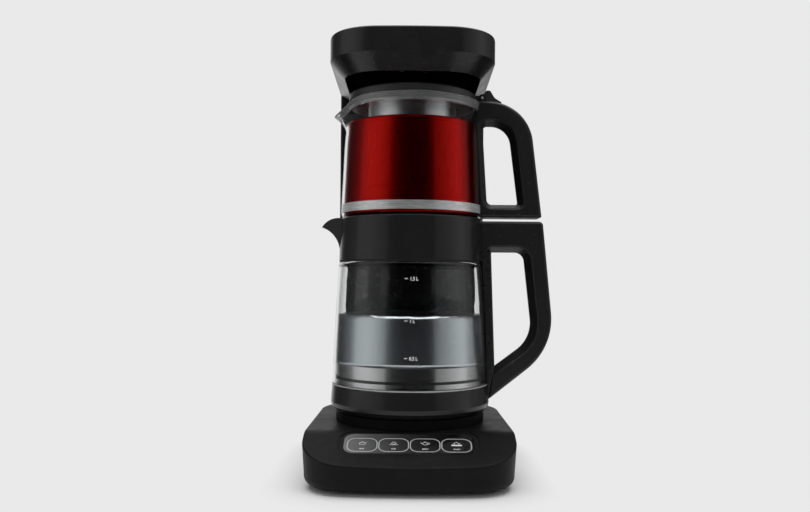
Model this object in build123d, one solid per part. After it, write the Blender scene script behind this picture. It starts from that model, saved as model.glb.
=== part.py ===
from build123d import *
import math
import os

# Automatic tea maker: a glass kettle with a glass teapot on it, on a base with a sloped control panel.
# A column behind them carries a head over the teapot.  Boiling water is pumped from the kettle's outlet
# through the dock, the base and the column to the nozzle in the head, and falls through the lid's inlet.
#
# Millimetres, +Z up.  The controls face -Y, both handles point along +X and both spouts along -X.
# The origin is on the floor, in the middle of the whole footprint.  Every piece is made about the upright
# centre line of the kettle and teapot, and save() moves it to its place from the origin.

# ---- driving dimensions ----
CENTRE_X, CENTRE_Y = -20.43, 4.4     # the pots' centre line, from the middle of the footprint

WALL = 2.5                           # moulded casing wall
FOOT_HEIGHT, FOOT_RADIUS, FOOT_PLUG_RADIUS = 3.0, 9.0, 3.5
FEET = [(-66, -92), (66, -92), (-58, 72), (58, 72)]
TRAY_SCREWS = [(-78, -50), (78, -50), (-72, 84), (72, 84)]
BASE_SPLIT = 12.0                    # height of the joint between tray and cover
BASE_TOP = 45.0
BASE_HALF_WIDTH = 90.0
BASE_WIDENING = 2.6                  # on each side, from the rear curve to the front
BASE_FRONT, BASE_REAR = -126.7, 116.5
BASE_FRONT_RADIUS, BASE_REAR_RADIUS = 41.0, 62.0
FRONT_BOW = 530.0                    # plan radius of the bowed front faces
TRAY_EDGE_RADIUS = 8.0
BASE_DRAFT = 2.2                     # the sides draw in by this much from the top to the tray
SLOPE_START = -70.0                  # where the flat top turns down to the front
SLOPE_ANGLE = 19.8
CREASE_RADIUS = 36.0                 # where the slope meets the flat top

# heights on the panel are from the plane of the slope, up its normal
PANEL_DOWN = 21.0                    # middle of the panel recess, down the slope
PANEL_RECESS, PANEL_SINK = (120.0, 39.6), 0.8
FASCIA_SIZE = (111.0, 31.0)
FASCIA_UP = 1.2                      # middle of the fascia above the middle of the recess
FASCIA_SEAT, FASCIA_FACE = -2.6, -0.5
KEY_NAMES = ["key_kettle", "key_cup", "key_teapot", "key_start"]
KEY_PITCH = 26.6
KEY_SIZE = (23.8, 19.6)
KEY_RADIUS = 6.6
KEY_DOWN = 1.1                       # middle of the keys below the middle of the recess
KEY_FACE, KEY_FLANGE, KEY_UNDER, KEY_STEM = -0.4, -3.2, -4.2, -7.9
KEY_TRAVEL = 0.5
KEY_GAP = 0.2
RING_WIDTH = 0.8                     # light ring round each key
BOARD_TOP, BOARD_THICKNESS = -12.0, 1.6
BOARD_POSTS = [(-57.5, 5), (57.5, 5), (-57.5, -9), (57.5, -9)]

POWER_BOARD_LOW, POWER_BOARD_TOP = 9.0, 10.6
POWER_POSTS = [(-66, -22), (-10, -22), (-66, 50), (-10, 50)]
PUMP_X, PUMP_HEIGHT = 40.0, 24.0
PUMP_RADIUS, PUMP_REAR, PUMP_FRONT, PUMP_MIDDLE = 17.0, 26.0, 12.0, 19.0
PUMP_OUTLET_HEIGHT, PUMP_OUTLET_X, PUMP_INLET_Y = 35.0, 57.0, 36.0
MOTOR_RADIUS, MOTOR_FRONT = 15.0, -24.0
SHAFT_RADIUS = 1.5
GLAND_X, GLAND_HEIGHT, GLAND_RADIUS, GLAND_BORE = -18.0, 24.0, 6.0, 3.5

PLINTH_RADIUS, PLINTH_TOP = 70.0, 55.0

COLUMN_HALF_WIDTH = 75.2
COLUMN_FRONT, COLUMN_SPLIT = 80.0, 97.0
COLUMN_REAR_RADIUS = 18.0            # where its sides meet the base's rear curve
COLUMN_MOUTH = (-60, 60, 83, 110)    # opening from the base into the column
FRAME_HALF_WIDTH, FRAME_REAR = 30.0, 110.0
COVER_SCREW_X, COVER_SCREW_HEIGHTS = 22.0, (80.0, 340.0)
HEAD_FRONT = -90.7
HEAD_FRONT_RADIUS = 44.0
HEAD_NARROWING = 1.8                  # on each side, from the column to the front
HEAD_LOW, HEAD_SHOULDER = 358.0, 370.5
HEAD_COVER_LOW, HEAD_TOP = 389.7, 392.3
HEAD_MOUTH_HALF_WIDTH, HEAD_MOUTH_FRONT, HEAD_MOUTH_RADIUS = 61.6, -73.0, 35.0
CEILING_LOW, CEILING_TOP = 374.0, 376.0
NOZZLE_LOW, NOZZLE_RADIUS, NOZZLE_INLET = 363.0, 7.0, 381.5

DOCK_HEIGHT = 66.0                   # of the water port and contacts
PORT_RADIUS = 6.0                    # kettle spigot
CONTACT_X = (-26, -18, 18, 26)
RISER_Y = 93.0                       # water way up and down behind the dock
RUNNING_GAP = 0.05

KETTLE_BOTTOM = 55.3
KETTLE_RING_TOP = 79.0
GLASS_LOW, GLASS_HIGH = 80.0, 193.0
COLLAR_LOW, COLLAR_TOP = 194.8, 234.7
COLLAR_LOW_RADIUS, COLLAR_TOP_RADIUS = 68.3, 66.9
KETTLE_MOUTH_RADIUS = 50.0
GLASS_WALL = 2.5
PAN_RADIUS, PAN_WALL, PAN_FLOOR, PAN_RIM = 70.0, 0.8, 82.0, 98.9
OUTLET_Y, OUTLET_BORE, DRAIN_RADIUS = 57.0, 3.2, 6.6
VALVE_SEAT_Y, VALVE_END_Y, SPIGOT_END_Y = 66.0, 86.0, 90.0
VALVE_TRAVEL = 3.0

TEAPOT_LOW = 235.1
TEAPOT_RIM = 344.0
BAND_LOW, BAND_HIGH, BAND_RADIUS = 239.2, 247.1, 65.3
BAND_MIDDLE = (BAND_LOW + BAND_HIGH) / 2
SPOUT_TIP = (-73.3, 332.8)
SPOUT_RISE, SPOUT_SPREAD = 31.8, 36.0
STRAINER_RADIUS, STRAINER_LOW, STRAINER_RIM = 41.5, 262.0, 338.2
LID_LOW, LID_TOP, LID_RADIUS, LID_INLET_RADIUS = 345.2, 351.5, 60.2, 8.0
HINGE_X, HINGE_Z, HINGE_PIN_RADIUS = 66.0, 349.0, 1.2
TAB = [(58, 350.2), (65.8, 351.2), (70.0, 356.6), (73.6, 356.4), (77.6, 349.6), (84.4, 345.4), (83.8, 344.2),
       (66, 347.4)]
TAB_RADII = [0, 3, 1.6, 1.6, 8, 0, 0, 0]

# handles, as corners of their outlines in X and Z, with the radius at each corner
HANDLE_HALF_WIDTH = 15.0
HANDLE_EDGE = 3.0
HANDLE_RIDGE = 1.5                   # half width of the band where a finger gap is narrowest
KETTLE_GRIP = [(55, 232.5), (123.6, 232.5), (135.4, 114.1), (74.5, 65.7), (55, 65.7)]
KETTLE_GRIP_RADII = [0, 4, 60, 0, 0]
KETTLE_GAP = [(74.9, 203.6), (106.7, 203.6), (116, 122.2), (79.1, 94.5)]
KETTLE_GAP_RADII = [3, 9, 32, 0]
KETTLE_GAP_FLARE = 5.2
KETTLE_STRIP = [(55, 203.6), (75.2, 203.6), (79.3, 95.5), (74.4, 66), (55, 66)]
KETTLE_STRIP_ROOM = [(50, 204), (75.35, 203.8), (79.45, 95.5), (74.4, 65), (50, 65)]
HANDLE_SCREW_HEIGHTS = (212.0, 224.0)
TEAPOT_GRIP = [(50, 346.4), (66, 345.6), (109.4, 342.5), (122.4, 236.3), (50, 236.3)]
TEAPOT_GRIP_RADII = [0, 0, 42, 1.2, 0]
TEAPOT_GAP = [(71.8, 249.0), (101.1, 249.0), (91.5, 323.6), (66.9, 323.6)]
TEAPOT_GAP_RADII = [5, 2, 19, 4]
TEAPOT_GAP_FLARE = 4.4
TAB_ROOM = [(58, 344.6), (71.5, 344.6), (73, 342.8), (84.5, 340.6), (87.2, 342.6), (88.4, 365), (58, 365)]

HOSE_RADIUS, HOSE_BORE = 4.0, 2.5
SCREW_RADIUS, SCREW_LENGTH, SCREW_HEAD_RADIUS, SCREW_HEAD = 1.5, 10.0, 2.8, 2.0

SIN, COS = math.sin(math.radians(SLOPE_ANGLE)), math.cos(math.radians(SLOPE_ANGLE))
SLOPE = Plane(origin=(0, SLOPE_START, BASE_TOP), x_dir=(1, 0, 0), z_dir=(0, -SIN, COS))
PANEL = SLOPE * Pos(0, -PANEL_DOWN, 0)


# ---- helpers ----
def save(name, *solids):
    """Move a node's solids to their place from the origin and write them."""
    placed = [Pos(CENTRE_X, CENTRE_Y, 0) * solid for item in solids for solid in item.solids()]
    export_step(placed[0] if len(placed) == 1 else Compound(placed), f"parts/{name}.step")


def turned(*points):
    """A body turned about the centre line, from its (radius, height) section."""
    return revolve(Plane.XZ * make_face(Polyline(*points, close=True)), Axis.Z)


def ring(outer, inner, low, high):
    return turned((inner, low), (outer, low), (outer, high), (inner, high))


def box(x0, x1, y0, y1, z0, z1):
    return Pos((x0 + x1) / 2, (y0 + y1) / 2, (z0 + z1) / 2) * Box(x1 - x0, y1 - y0, z1 - z0)


def post(x, y, radius, low, high):
    return Pos(x, y, low) * extrude(Circle(radius), high - low)


def rod(radius, start, end):
    """A round bar from one point to another."""
    line = Line(start, end)
    return sweep(Plane(origin=line @ 0, z_dir=line % 0) * Circle(radius), path=line)


def plate(width, depth, radius, low, high):
    return Pos(0, 0, low) * extrude(RectangleRounded(width, depth, radius), high - low)


def outline(half_width, front, rear, front_radius, rear_radius, inset=0.0, narrowing=0.0):
    """Plan of a casing: a bowed front, round corners and sides that narrow (or widen) to the front."""
    half_width, front, rear = half_width - inset, front + inset, rear - inset
    bend = min(COLUMN_FRONT, rear - 1.2 * rear_radius)
    side = [(half_width - narrowing, front), (half_width, bend), (half_width, rear)]
    if not narrowing or bend == rear:
        side = [side[0], side[-1]]
    shape = make_face(Polyline(*side, *[(-x, y) for x, y in reversed(side)], close=True))
    shape &= Pos(0, front + FRONT_BOW - inset) * Circle(FRONT_BOW - inset)
    if rear_radius:
        shape = fillet(shape.vertices().group_by(Axis.Y)[-1], rear_radius - inset)
    return fillet(shape.vertices().group_by(Axis.Y)[0], front_radius - inset)


def base_outline(inset=0.0):
    return outline(BASE_HALF_WIDTH, BASE_FRONT, BASE_REAR, BASE_FRONT_RADIUS, BASE_REAR_RADIUS, inset,
                   -BASE_WIDENING)


def tray_outline(inset=0.0):
    return base_outline(BASE_DRAFT + inset)


def head_plan(rear, inset):
    """Plan of the head, with a square rear end."""
    return outline(COLUMN_HALF_WIDTH, HEAD_FRONT, rear, HEAD_FRONT_RADIUS, 0, inset, HEAD_NARROWING)


def slab(points, radii, half_width):
    """A plate of even width in the XZ plane, from its outline's corners and their radii."""
    line = FilletPolyline(*points, radius=radii, close=True)
    return extrude(Plane.XZ * make_face(line), half_width, both=True)


def finger_gap(points, radii, flare):
    """A way through a handle, narrowest at the middle and wider by flare at both faces."""
    face = Plane.XZ * make_face(FilletPolyline(*points, radius=radii, close=True))
    depth = HANDLE_HALF_WIDTH - HANDLE_RIDGE
    angle = -math.degrees(math.atan2(flare, depth))
    gap = extrude(face, HANDLE_RIDGE, both=True)
    for side in (-1, 1):
        gap += extrude(Pos(0, side * HANDLE_RIDGE, 0) * face, depth, dir=(0, side, 0), taper=angle)
    return gap


def screw(x, y, z, turn=None):
    """A cap screw that points up from (x, y, z), the top of its head's seat, or as turned."""
    body = post(0, 0, SCREW_HEAD_RADIUS, -SCREW_HEAD, 0) + post(0, 0, SCREW_RADIUS, 0, SCREW_LENGTH)
    body -= Pos(0, 0, -SCREW_HEAD) * extrude(RegularPolygon(1.5, 6), 1.2)
    return Pos(x, y, z) * ((turn or Rot(0, 0, 0)) * body)


def hose(*points):
    """A hose along straight runs joined by arcs as large as the runs allow."""
    points = [Vector(*point) for point in points]
    radii = []
    for before, corner, after in zip(points, points[1:], points[2:]):
        turn = math.radians((corner - before).get_angle(after - corner))
        run = min((corner - before).length, (after - corner).length)
        radii.append(0.45 * run / math.tan(turn / 2))
    path = FilletPolyline(*points, radius=radii)
    section = Circle(HOSE_RADIUS) - Circle(HOSE_BORE)
    tube = sweep(Plane(origin=path @ 0, z_dir=path % 0) * section, path=path)
    area = math.pi * (HOSE_RADIUS**2 - HOSE_BORE**2)
    print("hose radii", [round(r, 1) for r in radii], "length", round(path.length, 1),
          "volume over section x length", round(tube.volume / (area * path.length), 4))
    return tube


# ---- base ----
def base_block(inset, low):
    """The base's form above low, with the slope cut off its front."""
    top = Pos(0, 0, BASE_TOP - inset) * base_outline(inset)
    block = loft([Pos(0, 0, low) * tray_outline(inset), top], ruled=True)
    return block - SLOPE * box(-200, 200, -200, 200, -inset, 80)


def rear_rounded(shape, inset):
    """A plan cut from the base's, with the corners rounded where its sides meet the rear curve."""
    side = COLUMN_HALF_WIDTH - inset
    corners = shape.vertices().filter_by(lambda v: abs(abs(v.X) - side) < 0.01 and v.Y > COLUMN_FRONT + 6)
    return fillet(corners, COLUMN_REAR_RADIUS - inset)


def column_outline(inset=0.0):
    side = COLUMN_HALF_WIDTH - inset
    front = COLUMN_FRONT + inset
    shape = base_outline(inset) & Pos(0, (front + 200) / 2) * Rectangle(2 * side, 200 - front)
    return rear_rounded(shape, inset)


def base_cover():
    body = base_block(0, BASE_SPLIT)
    crease = body.edges().filter_by(Axis.X).filter_by(lambda e: abs(e.center().Z - BASE_TOP) < 0.01)
    crease = crease.filter_by(lambda e: abs(e.center().Y - SLOPE_START) < 0.01)
    body = fillet(crease, CREASE_RADIUS)
    rim = body.edges().filter_by(lambda e: e.center().Z > 20 and not crosses_top(e))
    body = fillet(rim, 1.6)
    inside = base_block(WALL, BASE_SPLIT - 1)
    body -= inside
    body += (PANEL * plate(122, 40, 8, -4.8, -1.5)) & base_block(1, BASE_SPLIT)
    for x, y in TRAY_SCREWS:
        body += post(x, y, 4.2, BASE_SPLIT, 60) & base_block(1, BASE_SPLIT)
        body -= post(x, y, SCREW_RADIUS, BASE_SPLIT - 1, BASE_SPLIT + 7)
    for x, y in BOARD_POSTS:
        body += PANEL * post(x, y, 2.6, BOARD_TOP, -3)
        body -= PANEL * post(x, y, 1.0, BOARD_TOP - 1, BOARD_TOP + 5)
    body -= PANEL * plate(*PANEL_RECESS, 12, -PANEL_SINK, 6)
    width, depth = FASCIA_SIZE
    body -= PANEL * Pos(0, FASCIA_UP, 0) * plate(width + 0.3, depth + 0.3, 9.6, FASCIA_SEAT, 6)
    body -= PANEL * Pos(0, -KEY_DOWN, 0) * plate(108, 25.6, 8, -12, 6)
    body -= post(0, 0, 62, 40, 60)
    body -= box(*COLUMN_MOUTH, 40, 60)
    body -= rod(GLAND_RADIUS, (GLAND_X, 100, GLAND_HEIGHT), (GLAND_X, 130, GLAND_HEIGHT))
    return body


def crosses_top(edge):
    """Is this an upright edge, or one of the long lines that cross the top from side to side?"""
    span = edge.bounding_box()
    return span.size.Z > 20 and max(span.size.X, span.size.Y) < 4 or span.size.X > 170


def base_tray():
    body = Pos(0, 0, FOOT_HEIGHT) * extrude(tray_outline(), BASE_SPLIT - FOOT_HEIGHT)
    body = fillet(body.faces().sort_by(Axis.Z)[0].edges(), TRAY_EDGE_RADIUS)
    floor = FOOT_HEIGHT + WALL
    inside = Pos(0, 0, floor) * extrude(tray_outline(WALL), 20)
    body -= fillet(inside.faces().sort_by(Axis.Z)[0].edges(), TRAY_EDGE_RADIUS - WALL)
    for x, y in TRAY_SCREWS:
        body += post(x, y, 5, FOOT_HEIGHT + 1, BASE_SPLIT)
        body -= post(x, y, SCREW_HEAD_RADIUS + 0.4, 0, 7)
        body -= post(x, y, SCREW_RADIUS + 0.1, 0, 20)
    for x, y in FEET:
        body -= post(x, y, FOOT_PLUG_RADIUS, 0, 10)
    for x, y in POWER_POSTS:
        body += post(x, y, 3, floor - 1, POWER_BOARD_LOW)
    for row in range(7):
        body -= box(-22, 22, -42 + 8 * row, -39 + 8 * row, 0, 10)
    body += box(-FRAME_HALF_WIDTH, FRAME_HALF_WIDTH, FRAME_REAR - 18, FRAME_REAR, floor - 0.5, BASE_SPLIT)
    return body


def feet():
    foot = turned(
        (0, 0), (FOOT_RADIUS - 0.8, 0), (FOOT_RADIUS, 0.8), (FOOT_RADIUS, FOOT_HEIGHT),
        (FOOT_PLUG_RADIUS, FOOT_HEIGHT), (FOOT_PLUG_RADIUS, FOOT_HEIGHT + WALL), (0, FOOT_HEIGHT + WALL),
    )
    return [Pos(x, y, 0) * foot for x, y in FEET]


def plinth():
    return turned(
        (0, PLINTH_TOP), (PLINTH_RADIUS - 1.5, PLINTH_TOP), (PLINTH_RADIUS, PLINTH_TOP - 1.5),
        (PLINTH_RADIUS, BASE_TOP), (61.9, BASE_TOP), (61.9, BASE_TOP - 3), (59.4, BASE_TOP - 3),
        (59.4, BASE_TOP + WALL), (PLINTH_RADIUS - WALL, BASE_TOP + WALL),
        (PLINTH_RADIUS - WALL, PLINTH_TOP - WALL), (0, PLINTH_TOP - WALL),
    )


# ---- control panel, on the sloped plane ----
def key_place(index):
    return PANEL * Pos((index - (len(KEY_NAMES) - 1) / 2) * KEY_PITCH, -KEY_DOWN, 0)


def key_plate(grow, low, high):
    return plate(KEY_SIZE[0] + 2 * grow, KEY_SIZE[1] + 2 * grow, KEY_RADIUS + grow, low, high)


def panel_fascia():
    body = PANEL * Pos(0, FASCIA_UP, 0) * plate(*FASCIA_SIZE, 9.4, FASCIA_SEAT, FASCIA_FACE)
    for index in range(len(KEY_NAMES)):
        body -= key_place(index) * key_plate(KEY_GAP + RING_WIDTH + 0.05, -5, 2)
    return body


def key_rings():
    shape = key_plate(KEY_GAP + RING_WIDTH, FASCIA_SEAT, FASCIA_FACE) - key_plate(KEY_GAP, -5, 2)
    return [key_place(index) * shape for index in range(len(KEY_NAMES))]


def key(index):
    """A key cap with a flange that holds it in, and a stem over its switch."""
    body = key_plate(0, KEY_FLANGE, KEY_FACE) + key_plate(0.7, KEY_UNDER, KEY_FLANGE)
    body += post(0, 0, 2, KEY_STEM, KEY_UNDER)
    edges = body.faces().sort_by(Axis.Z)[-1].edges()
    return key_place(index) * fillet(edges, 0.3)


def control_board():
    body = PANEL * Pos(0, -2, 0) * plate(119.5, 21, 2, BOARD_TOP - BOARD_THICKNESS, BOARD_TOP)
    for x, y in BOARD_POSTS:
        body -= PANEL * post(x, y, 1.1, BOARD_TOP - 4, BOARD_TOP + 1)
    return body


def key_switches():
    shape = plate(6, 6, 0.4, BOARD_TOP, BOARD_TOP + 3.1)
    shape += post(0, 0, 1.7, BOARD_TOP, KEY_STEM - KEY_TRAVEL - RUNNING_GAP)
    return [key_place(index) * shape for index in range(len(KEY_NAMES))]


# ---- inside the base ----
def power_board():
    return box(-70, -6, -26, 54, POWER_BOARD_LOW, POWER_BOARD_TOP)


def power_parts():
    """Transformer, relay, filter capacitor and the lead socket of the power board."""
    low = POWER_BOARD_TOP
    capacitor = rod(7, (-60, -14, low + 7), (-36, -14, low + 7))
    return [box(-62, -36, 24, 48, low, low + 20), box(-28, -12, 20, 42, low, low + 16), capacitor,
            box(-20, -9, -20, 2, low, low + 9)]


def pump_tube(radius, y0, y1):
    return rod(radius, (PUMP_X, y0, PUMP_HEIGHT), (PUMP_X, y1, PUMP_HEIGHT))


def pump_housing():
    """Volute with an inlet behind, an outlet to the right and a foot on the tray."""
    outlet = (PUMP_OUTLET_X, PUMP_MIDDLE, PUMP_OUTLET_HEIGHT)
    body = pump_tube(PUMP_RADIUS, PUMP_FRONT, PUMP_REAR) + pump_tube(HOSE_RADIUS, PUMP_REAR, PUMP_INLET_Y)
    body += rod(HOSE_RADIUS, (PUMP_X + 4, PUMP_MIDDLE, PUMP_OUTLET_HEIGHT), outlet)
    body += box(PUMP_X - 10, PUMP_X + 10, PUMP_FRONT, PUMP_REAR, FOOT_HEIGHT + WALL, 14)
    body -= pump_tube(PUMP_RADIUS - 3, PUMP_FRONT + 2, PUMP_REAR - 2)
    body -= pump_tube(HOSE_BORE, PUMP_MIDDLE, PUMP_INLET_Y + 1)
    body -= rod(HOSE_BORE, (PUMP_X + 6, PUMP_MIDDLE, PUMP_OUTLET_HEIGHT), outlet)
    return body - pump_tube(SHAFT_RADIUS + RUNNING_GAP, PUMP_FRONT - 1, PUMP_FRONT + 3)


def pump_motor():
    body = pump_tube(MOTOR_RADIUS, MOTOR_FRONT, PUMP_FRONT)
    body = fillet(body.faces().sort_by(Axis.Y)[0].edges(), 2)
    body -= pump_tube(SHAFT_RADIUS + RUNNING_GAP, MOTOR_FRONT + 12, PUMP_FRONT + 1)
    return body


def pump_rotor():
    """Impeller and shaft."""
    body = pump_tube(SHAFT_RADIUS, MOTOR_FRONT + 13, 22) + pump_tube(12.6, 15, 16.5) + pump_tube(4.5, 15, 20)
    vane = box(3.5, 12, -0.7, 0.7, 0, 5)
    for index in range(5):
        body += Pos(PUMP_X, 16.5, PUMP_HEIGHT) * (Rot(-90, 0, 0) * (Rot(0, 0, 72 * index) * vane))
    return body


def inlet_hose():
    """From the dock, down and forward to the pump."""
    return hose(
        (0, RISER_Y, 52), (0, RISER_Y, 40), (9, 87, 28), (26, 75, 23), (PUMP_X, 54, PUMP_HEIGHT),
        (PUMP_X, PUMP_INLET_Y, PUMP_HEIGHT),
    )


def riser_hose():
    """From the pump, round the right of the base, up the column and forward to the nozzle."""
    return hose(
        (PUMP_OUTLET_X, PUMP_MIDDLE, PUMP_OUTLET_HEIGHT), (71, PUMP_MIDDLE, PUMP_OUTLET_HEIGHT),
        (78, 35, 34), (75, 54, 32), (64, 73, 31), (51, 88, 38), (43, 96, 56), (41, 97, 104), (42, 96, 176),
        (41, 97, 248), (42, 96, 318), (41, 97, 350), (39, 92, 374), (27, 68, 382.5), (6, 50, 382),
        (0, 32, NOZZLE_INLET), (0, 17, NOZZLE_INLET),
    )


def dock_socket():
    """Block at the foot of the column that the kettle's spigot and contacts plug into."""
    low, high = DOCK_HEIGHT - 9.5, DOCK_HEIGHT + 9.5
    body = box(-36, 36, 76.6, 97, low, high)
    body = fillet(body.edges().filter_by(Axis.Y), 4)
    body += post(0, RISER_Y, HOSE_RADIUS, 52, low)
    body -= rod(PORT_RADIUS + 0.15, (0, 70, DOCK_HEIGHT), (0, 90.5, DOCK_HEIGHT))
    body -= rod(8.2, (0, 82, DOCK_HEIGHT), (0, 84.6, DOCK_HEIGHT))
    body -= rod(HOSE_BORE, (0, 88, DOCK_HEIGHT), (0, RISER_Y, DOCK_HEIGHT))
    body -= post(0, RISER_Y, HOSE_BORE, 45, DOCK_HEIGHT)
    for x in CONTACT_X:
        body -= box(x - 1.1, x + 2.1, 70, 98, DOCK_HEIGHT - 4.6, DOCK_HEIGHT + 4.6)
    return body


def dock_o_ring():
    return Pos(0, 83.3, DOCK_HEIGHT) * (Rot(90, 0, 0) * Torus(PORT_RADIUS + 0.03 + 1.05, 1.05))


def dock_contacts():
    """Brass leaves beside the kettle's blades, with a tail out of the back of the block."""
    return [box(x + 0.68, x + 1.5, 80, 100, DOCK_HEIGHT - 3, DOCK_HEIGHT + 3) for x in CONTACT_X]


def cord_gland():
    gland = rod(GLAND_RADIUS, (GLAND_X, 110.3, GLAND_HEIGHT), (GLAND_X, BASE_REAR, GLAND_HEIGHT))
    inner = BASE_REAR - WALL - BASE_DRAFT
    gland += rod(GLAND_RADIUS + 2, (GLAND_X, inner - 1.6, GLAND_HEIGHT), (GLAND_X, inner, GLAND_HEIGHT))
    return gland - rod(GLAND_BORE, (GLAND_X, 100, GLAND_HEIGHT), (GLAND_X, 130, GLAND_HEIGHT))


def case_screws():
    """Four up through the tray, four forward through the column's rear cover."""
    up = [screw(x, y, 7) for x, y in TRAY_SCREWS]
    places = [(side * COVER_SCREW_X, z) for side in (-1, 1) for z in COVER_SCREW_HEIGHTS]
    return up + [screw(x, 112, z, Rot(90, 0, 0)) for x, z in places]


# ---- column and head ----
def column_tube(front, rear):
    shape = column_outline() - column_outline(WALL)
    shape &= Pos(0, (front + rear) / 2) * Rectangle(300, rear - front)
    return Pos(0, 0, BASE_TOP) * extrude(shape, HEAD_SHOULDER - BASE_TOP)


def column_front_cover():
    body = column_tube(COLUMN_FRONT - 5, COLUMN_SPLIT)
    edges = body.edges().filter_by(Axis.Z).filter_by(lambda e: abs(e.center().Y - COLUMN_FRONT) < 0.01)
    body = fillet(edges, 2)
    opening = Pos(0, 0, DOCK_HEIGHT) * (Rot(90, 0, 0) * plate(72.2, 19.2, 4.1, -100, -60))
    return body - opening


def column_rear_cover():
    body = column_tube(COLUMN_SPLIT, BASE_REAR + 5)
    for side in (-1, 1):
        for z in COVER_SCREW_HEIGHTS:
            x = side * COVER_SCREW_X
            body += rod(5, (x, 110, z), (x, 115, z))
            body -= rod(SCREW_HEAD_RADIUS + 0.4, (x, 112, z), (x, 120, z))
            body -= rod(SCREW_RADIUS + 0.1, (x, 105, z), (x, 120, z))
    for row in range(8):
        body -= box(-20, 20, 105, 120, 96 + 6 * row, 98.5 + 6 * row)
    return body


def column_frame():
    """Steel channel from the tray to the head."""
    half, rear, sheet = FRAME_HALF_WIDTH, FRAME_REAR, 2
    body = box(-half, half, rear - sheet, rear, BASE_SPLIT, HEAD_SHOULDER)
    body += box(-half, half, rear - 18, rear, BASE_SPLIT, BASE_SPLIT + sheet)
    body += box(-half - 3, half + 3, rear - 22, rear, HEAD_SHOULDER - sheet, HEAD_SHOULDER)
    for side in (-1, 1):
        edge = sorted((side * half, side * (half - sheet)))
        body += box(*edge, COLUMN_SPLIT + 0.5, rear, BASE_SPLIT, HEAD_SHOULDER)
        for z in COVER_SCREW_HEIGHTS:
            body -= rod(SCREW_RADIUS, (side * COVER_SCREW_X, 100, z), (side * COVER_SCREW_X, 115, z))
    return body - rod(GLAND_BORE + 1, (GLAND_X, 100, GLAND_HEIGHT), (GLAND_X, 115, GLAND_HEIGHT))


def head_outline(inset=0.0):
    front = head_plan(200, inset)
    return rear_rounded(front & base_outline(inset), inset)


def head_skirt(inset):
    """The chamfered underside, from the mouth up to the shoulder."""
    mouth_inset = inset * 0.32
    rear = COLUMN_FRONT + mouth_inset
    low = outline(HEAD_MOUTH_HALF_WIDTH, HEAD_MOUTH_FRONT, rear, HEAD_MOUTH_RADIUS, 0, mouth_inset)
    high = head_plan(COLUMN_FRONT + inset, inset)
    return loft([Pos(0, 0, HEAD_LOW) * low, Pos(0, 0, HEAD_SHOULDER) * high], ruled=True)


def head_shell():
    body = Pos(0, 0, HEAD_SHOULDER) * extrude(head_outline(), HEAD_COVER_LOW - HEAD_SHOULDER)
    body -= Pos(0, 0, HEAD_SHOULDER + WALL) * extrude(head_outline(WALL), 40)
    body += head_skirt(0)
    well = head_plan(COLUMN_FRONT + WALL, WALL)
    body -= Pos(0, 0, HEAD_SHOULDER) * extrude(well, 40)
    body -= head_skirt(WALL)
    return body - box(26, 48, 79, 105, HEAD_SHOULDER - 1, HEAD_SHOULDER + 5)


def head_top_cover():
    body = Pos(0, 0, HEAD_COVER_LOW) * extrude(head_outline(0.25), HEAD_TOP - HEAD_COVER_LOW)
    body = fillet(body.faces().sort_by(Axis.Z)[-1].edges(), 1.8)
    lip = head_outline(WALL + 0.1) - head_outline(WALL + 1.6)
    return body + Pos(0, 0, HEAD_COVER_LOW - 2.5) * extrude(lip, 3)


def head_ceiling():
    shape = head_outline(WALL) & Pos(0, -20) * Rectangle(300, 199.6)
    body = Pos(0, 0, CEILING_LOW) * extrude(shape, CEILING_TOP - CEILING_LOW)
    body -= box(22, 48, 62, 81, CEILING_LOW - 1, CEILING_TOP + 1)
    return body - post(0, 0, NOZZLE_RADIUS + 0.2, 370, 380)


def outlet_nozzle():
    """Elbow that takes the riser hose and drops the water on the lid's inlet."""
    radius, seat = NOZZLE_RADIUS, CEILING_LOW - 0.8
    body = turned(
        (0, NOZZLE_INLET + 4.5), (radius, NOZZLE_INLET + 4.5), (radius, seat), (2 * radius, seat),
        (2 * radius, seat - 2.2), (radius, seat - 3.2), (4.6, NOZZLE_LOW), (0, NOZZLE_LOW),
    )
    body += rod(HOSE_RADIUS, (0, 0, NOZZLE_INLET), (0, 17, NOZZLE_INLET))
    body -= post(0, 0, HOSE_BORE, NOZZLE_LOW - 1, NOZZLE_INLET)
    return body - rod(HOSE_BORE, (0, 0, NOZZLE_INLET), (0, 20, NOZZLE_INLET))


def nozzle_gasket():
    return ring(2 * NOZZLE_RADIUS - 0.5, NOZZLE_RADIUS + 0.1, CEILING_LOW - 0.8, CEILING_LOW)


def wireless_board():
    body = box(-46, -14, 24, 46, CEILING_TOP, CEILING_TOP + 1.2)
    return body + box(-44, -30, 28, 42, CEILING_TOP + 1.2, CEILING_TOP + 3.6)


# ---- kettle ----
def glass_tube():
    """Kettle glass: an open tube, slightly bellied, drawn in at a shoulder under the collar."""
    bulge = [(73.5, GLASS_LOW), (71.9, 129), (70.0, 165)]
    outer = Spline(*bulge, (68.4, 190.0))
    inner = Spline(*[(radius - GLASS_WALL, z) for radius, z in bulge], (65.7, 188.6))
    rim = [(66.6, GLASS_HIGH), (64.6, GLASS_HIGH)]
    shoulder = [ThreePointArc(outer @ 1, (67.9, 192.1), rim[0]), Line(*rim), Line(rim[1], inner @ 1)]
    return revolve(Plane.XZ * make_face([outer, *shoulder, inner, Line(outer @ 0, inner @ 0)]), Axis.Z)


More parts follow.
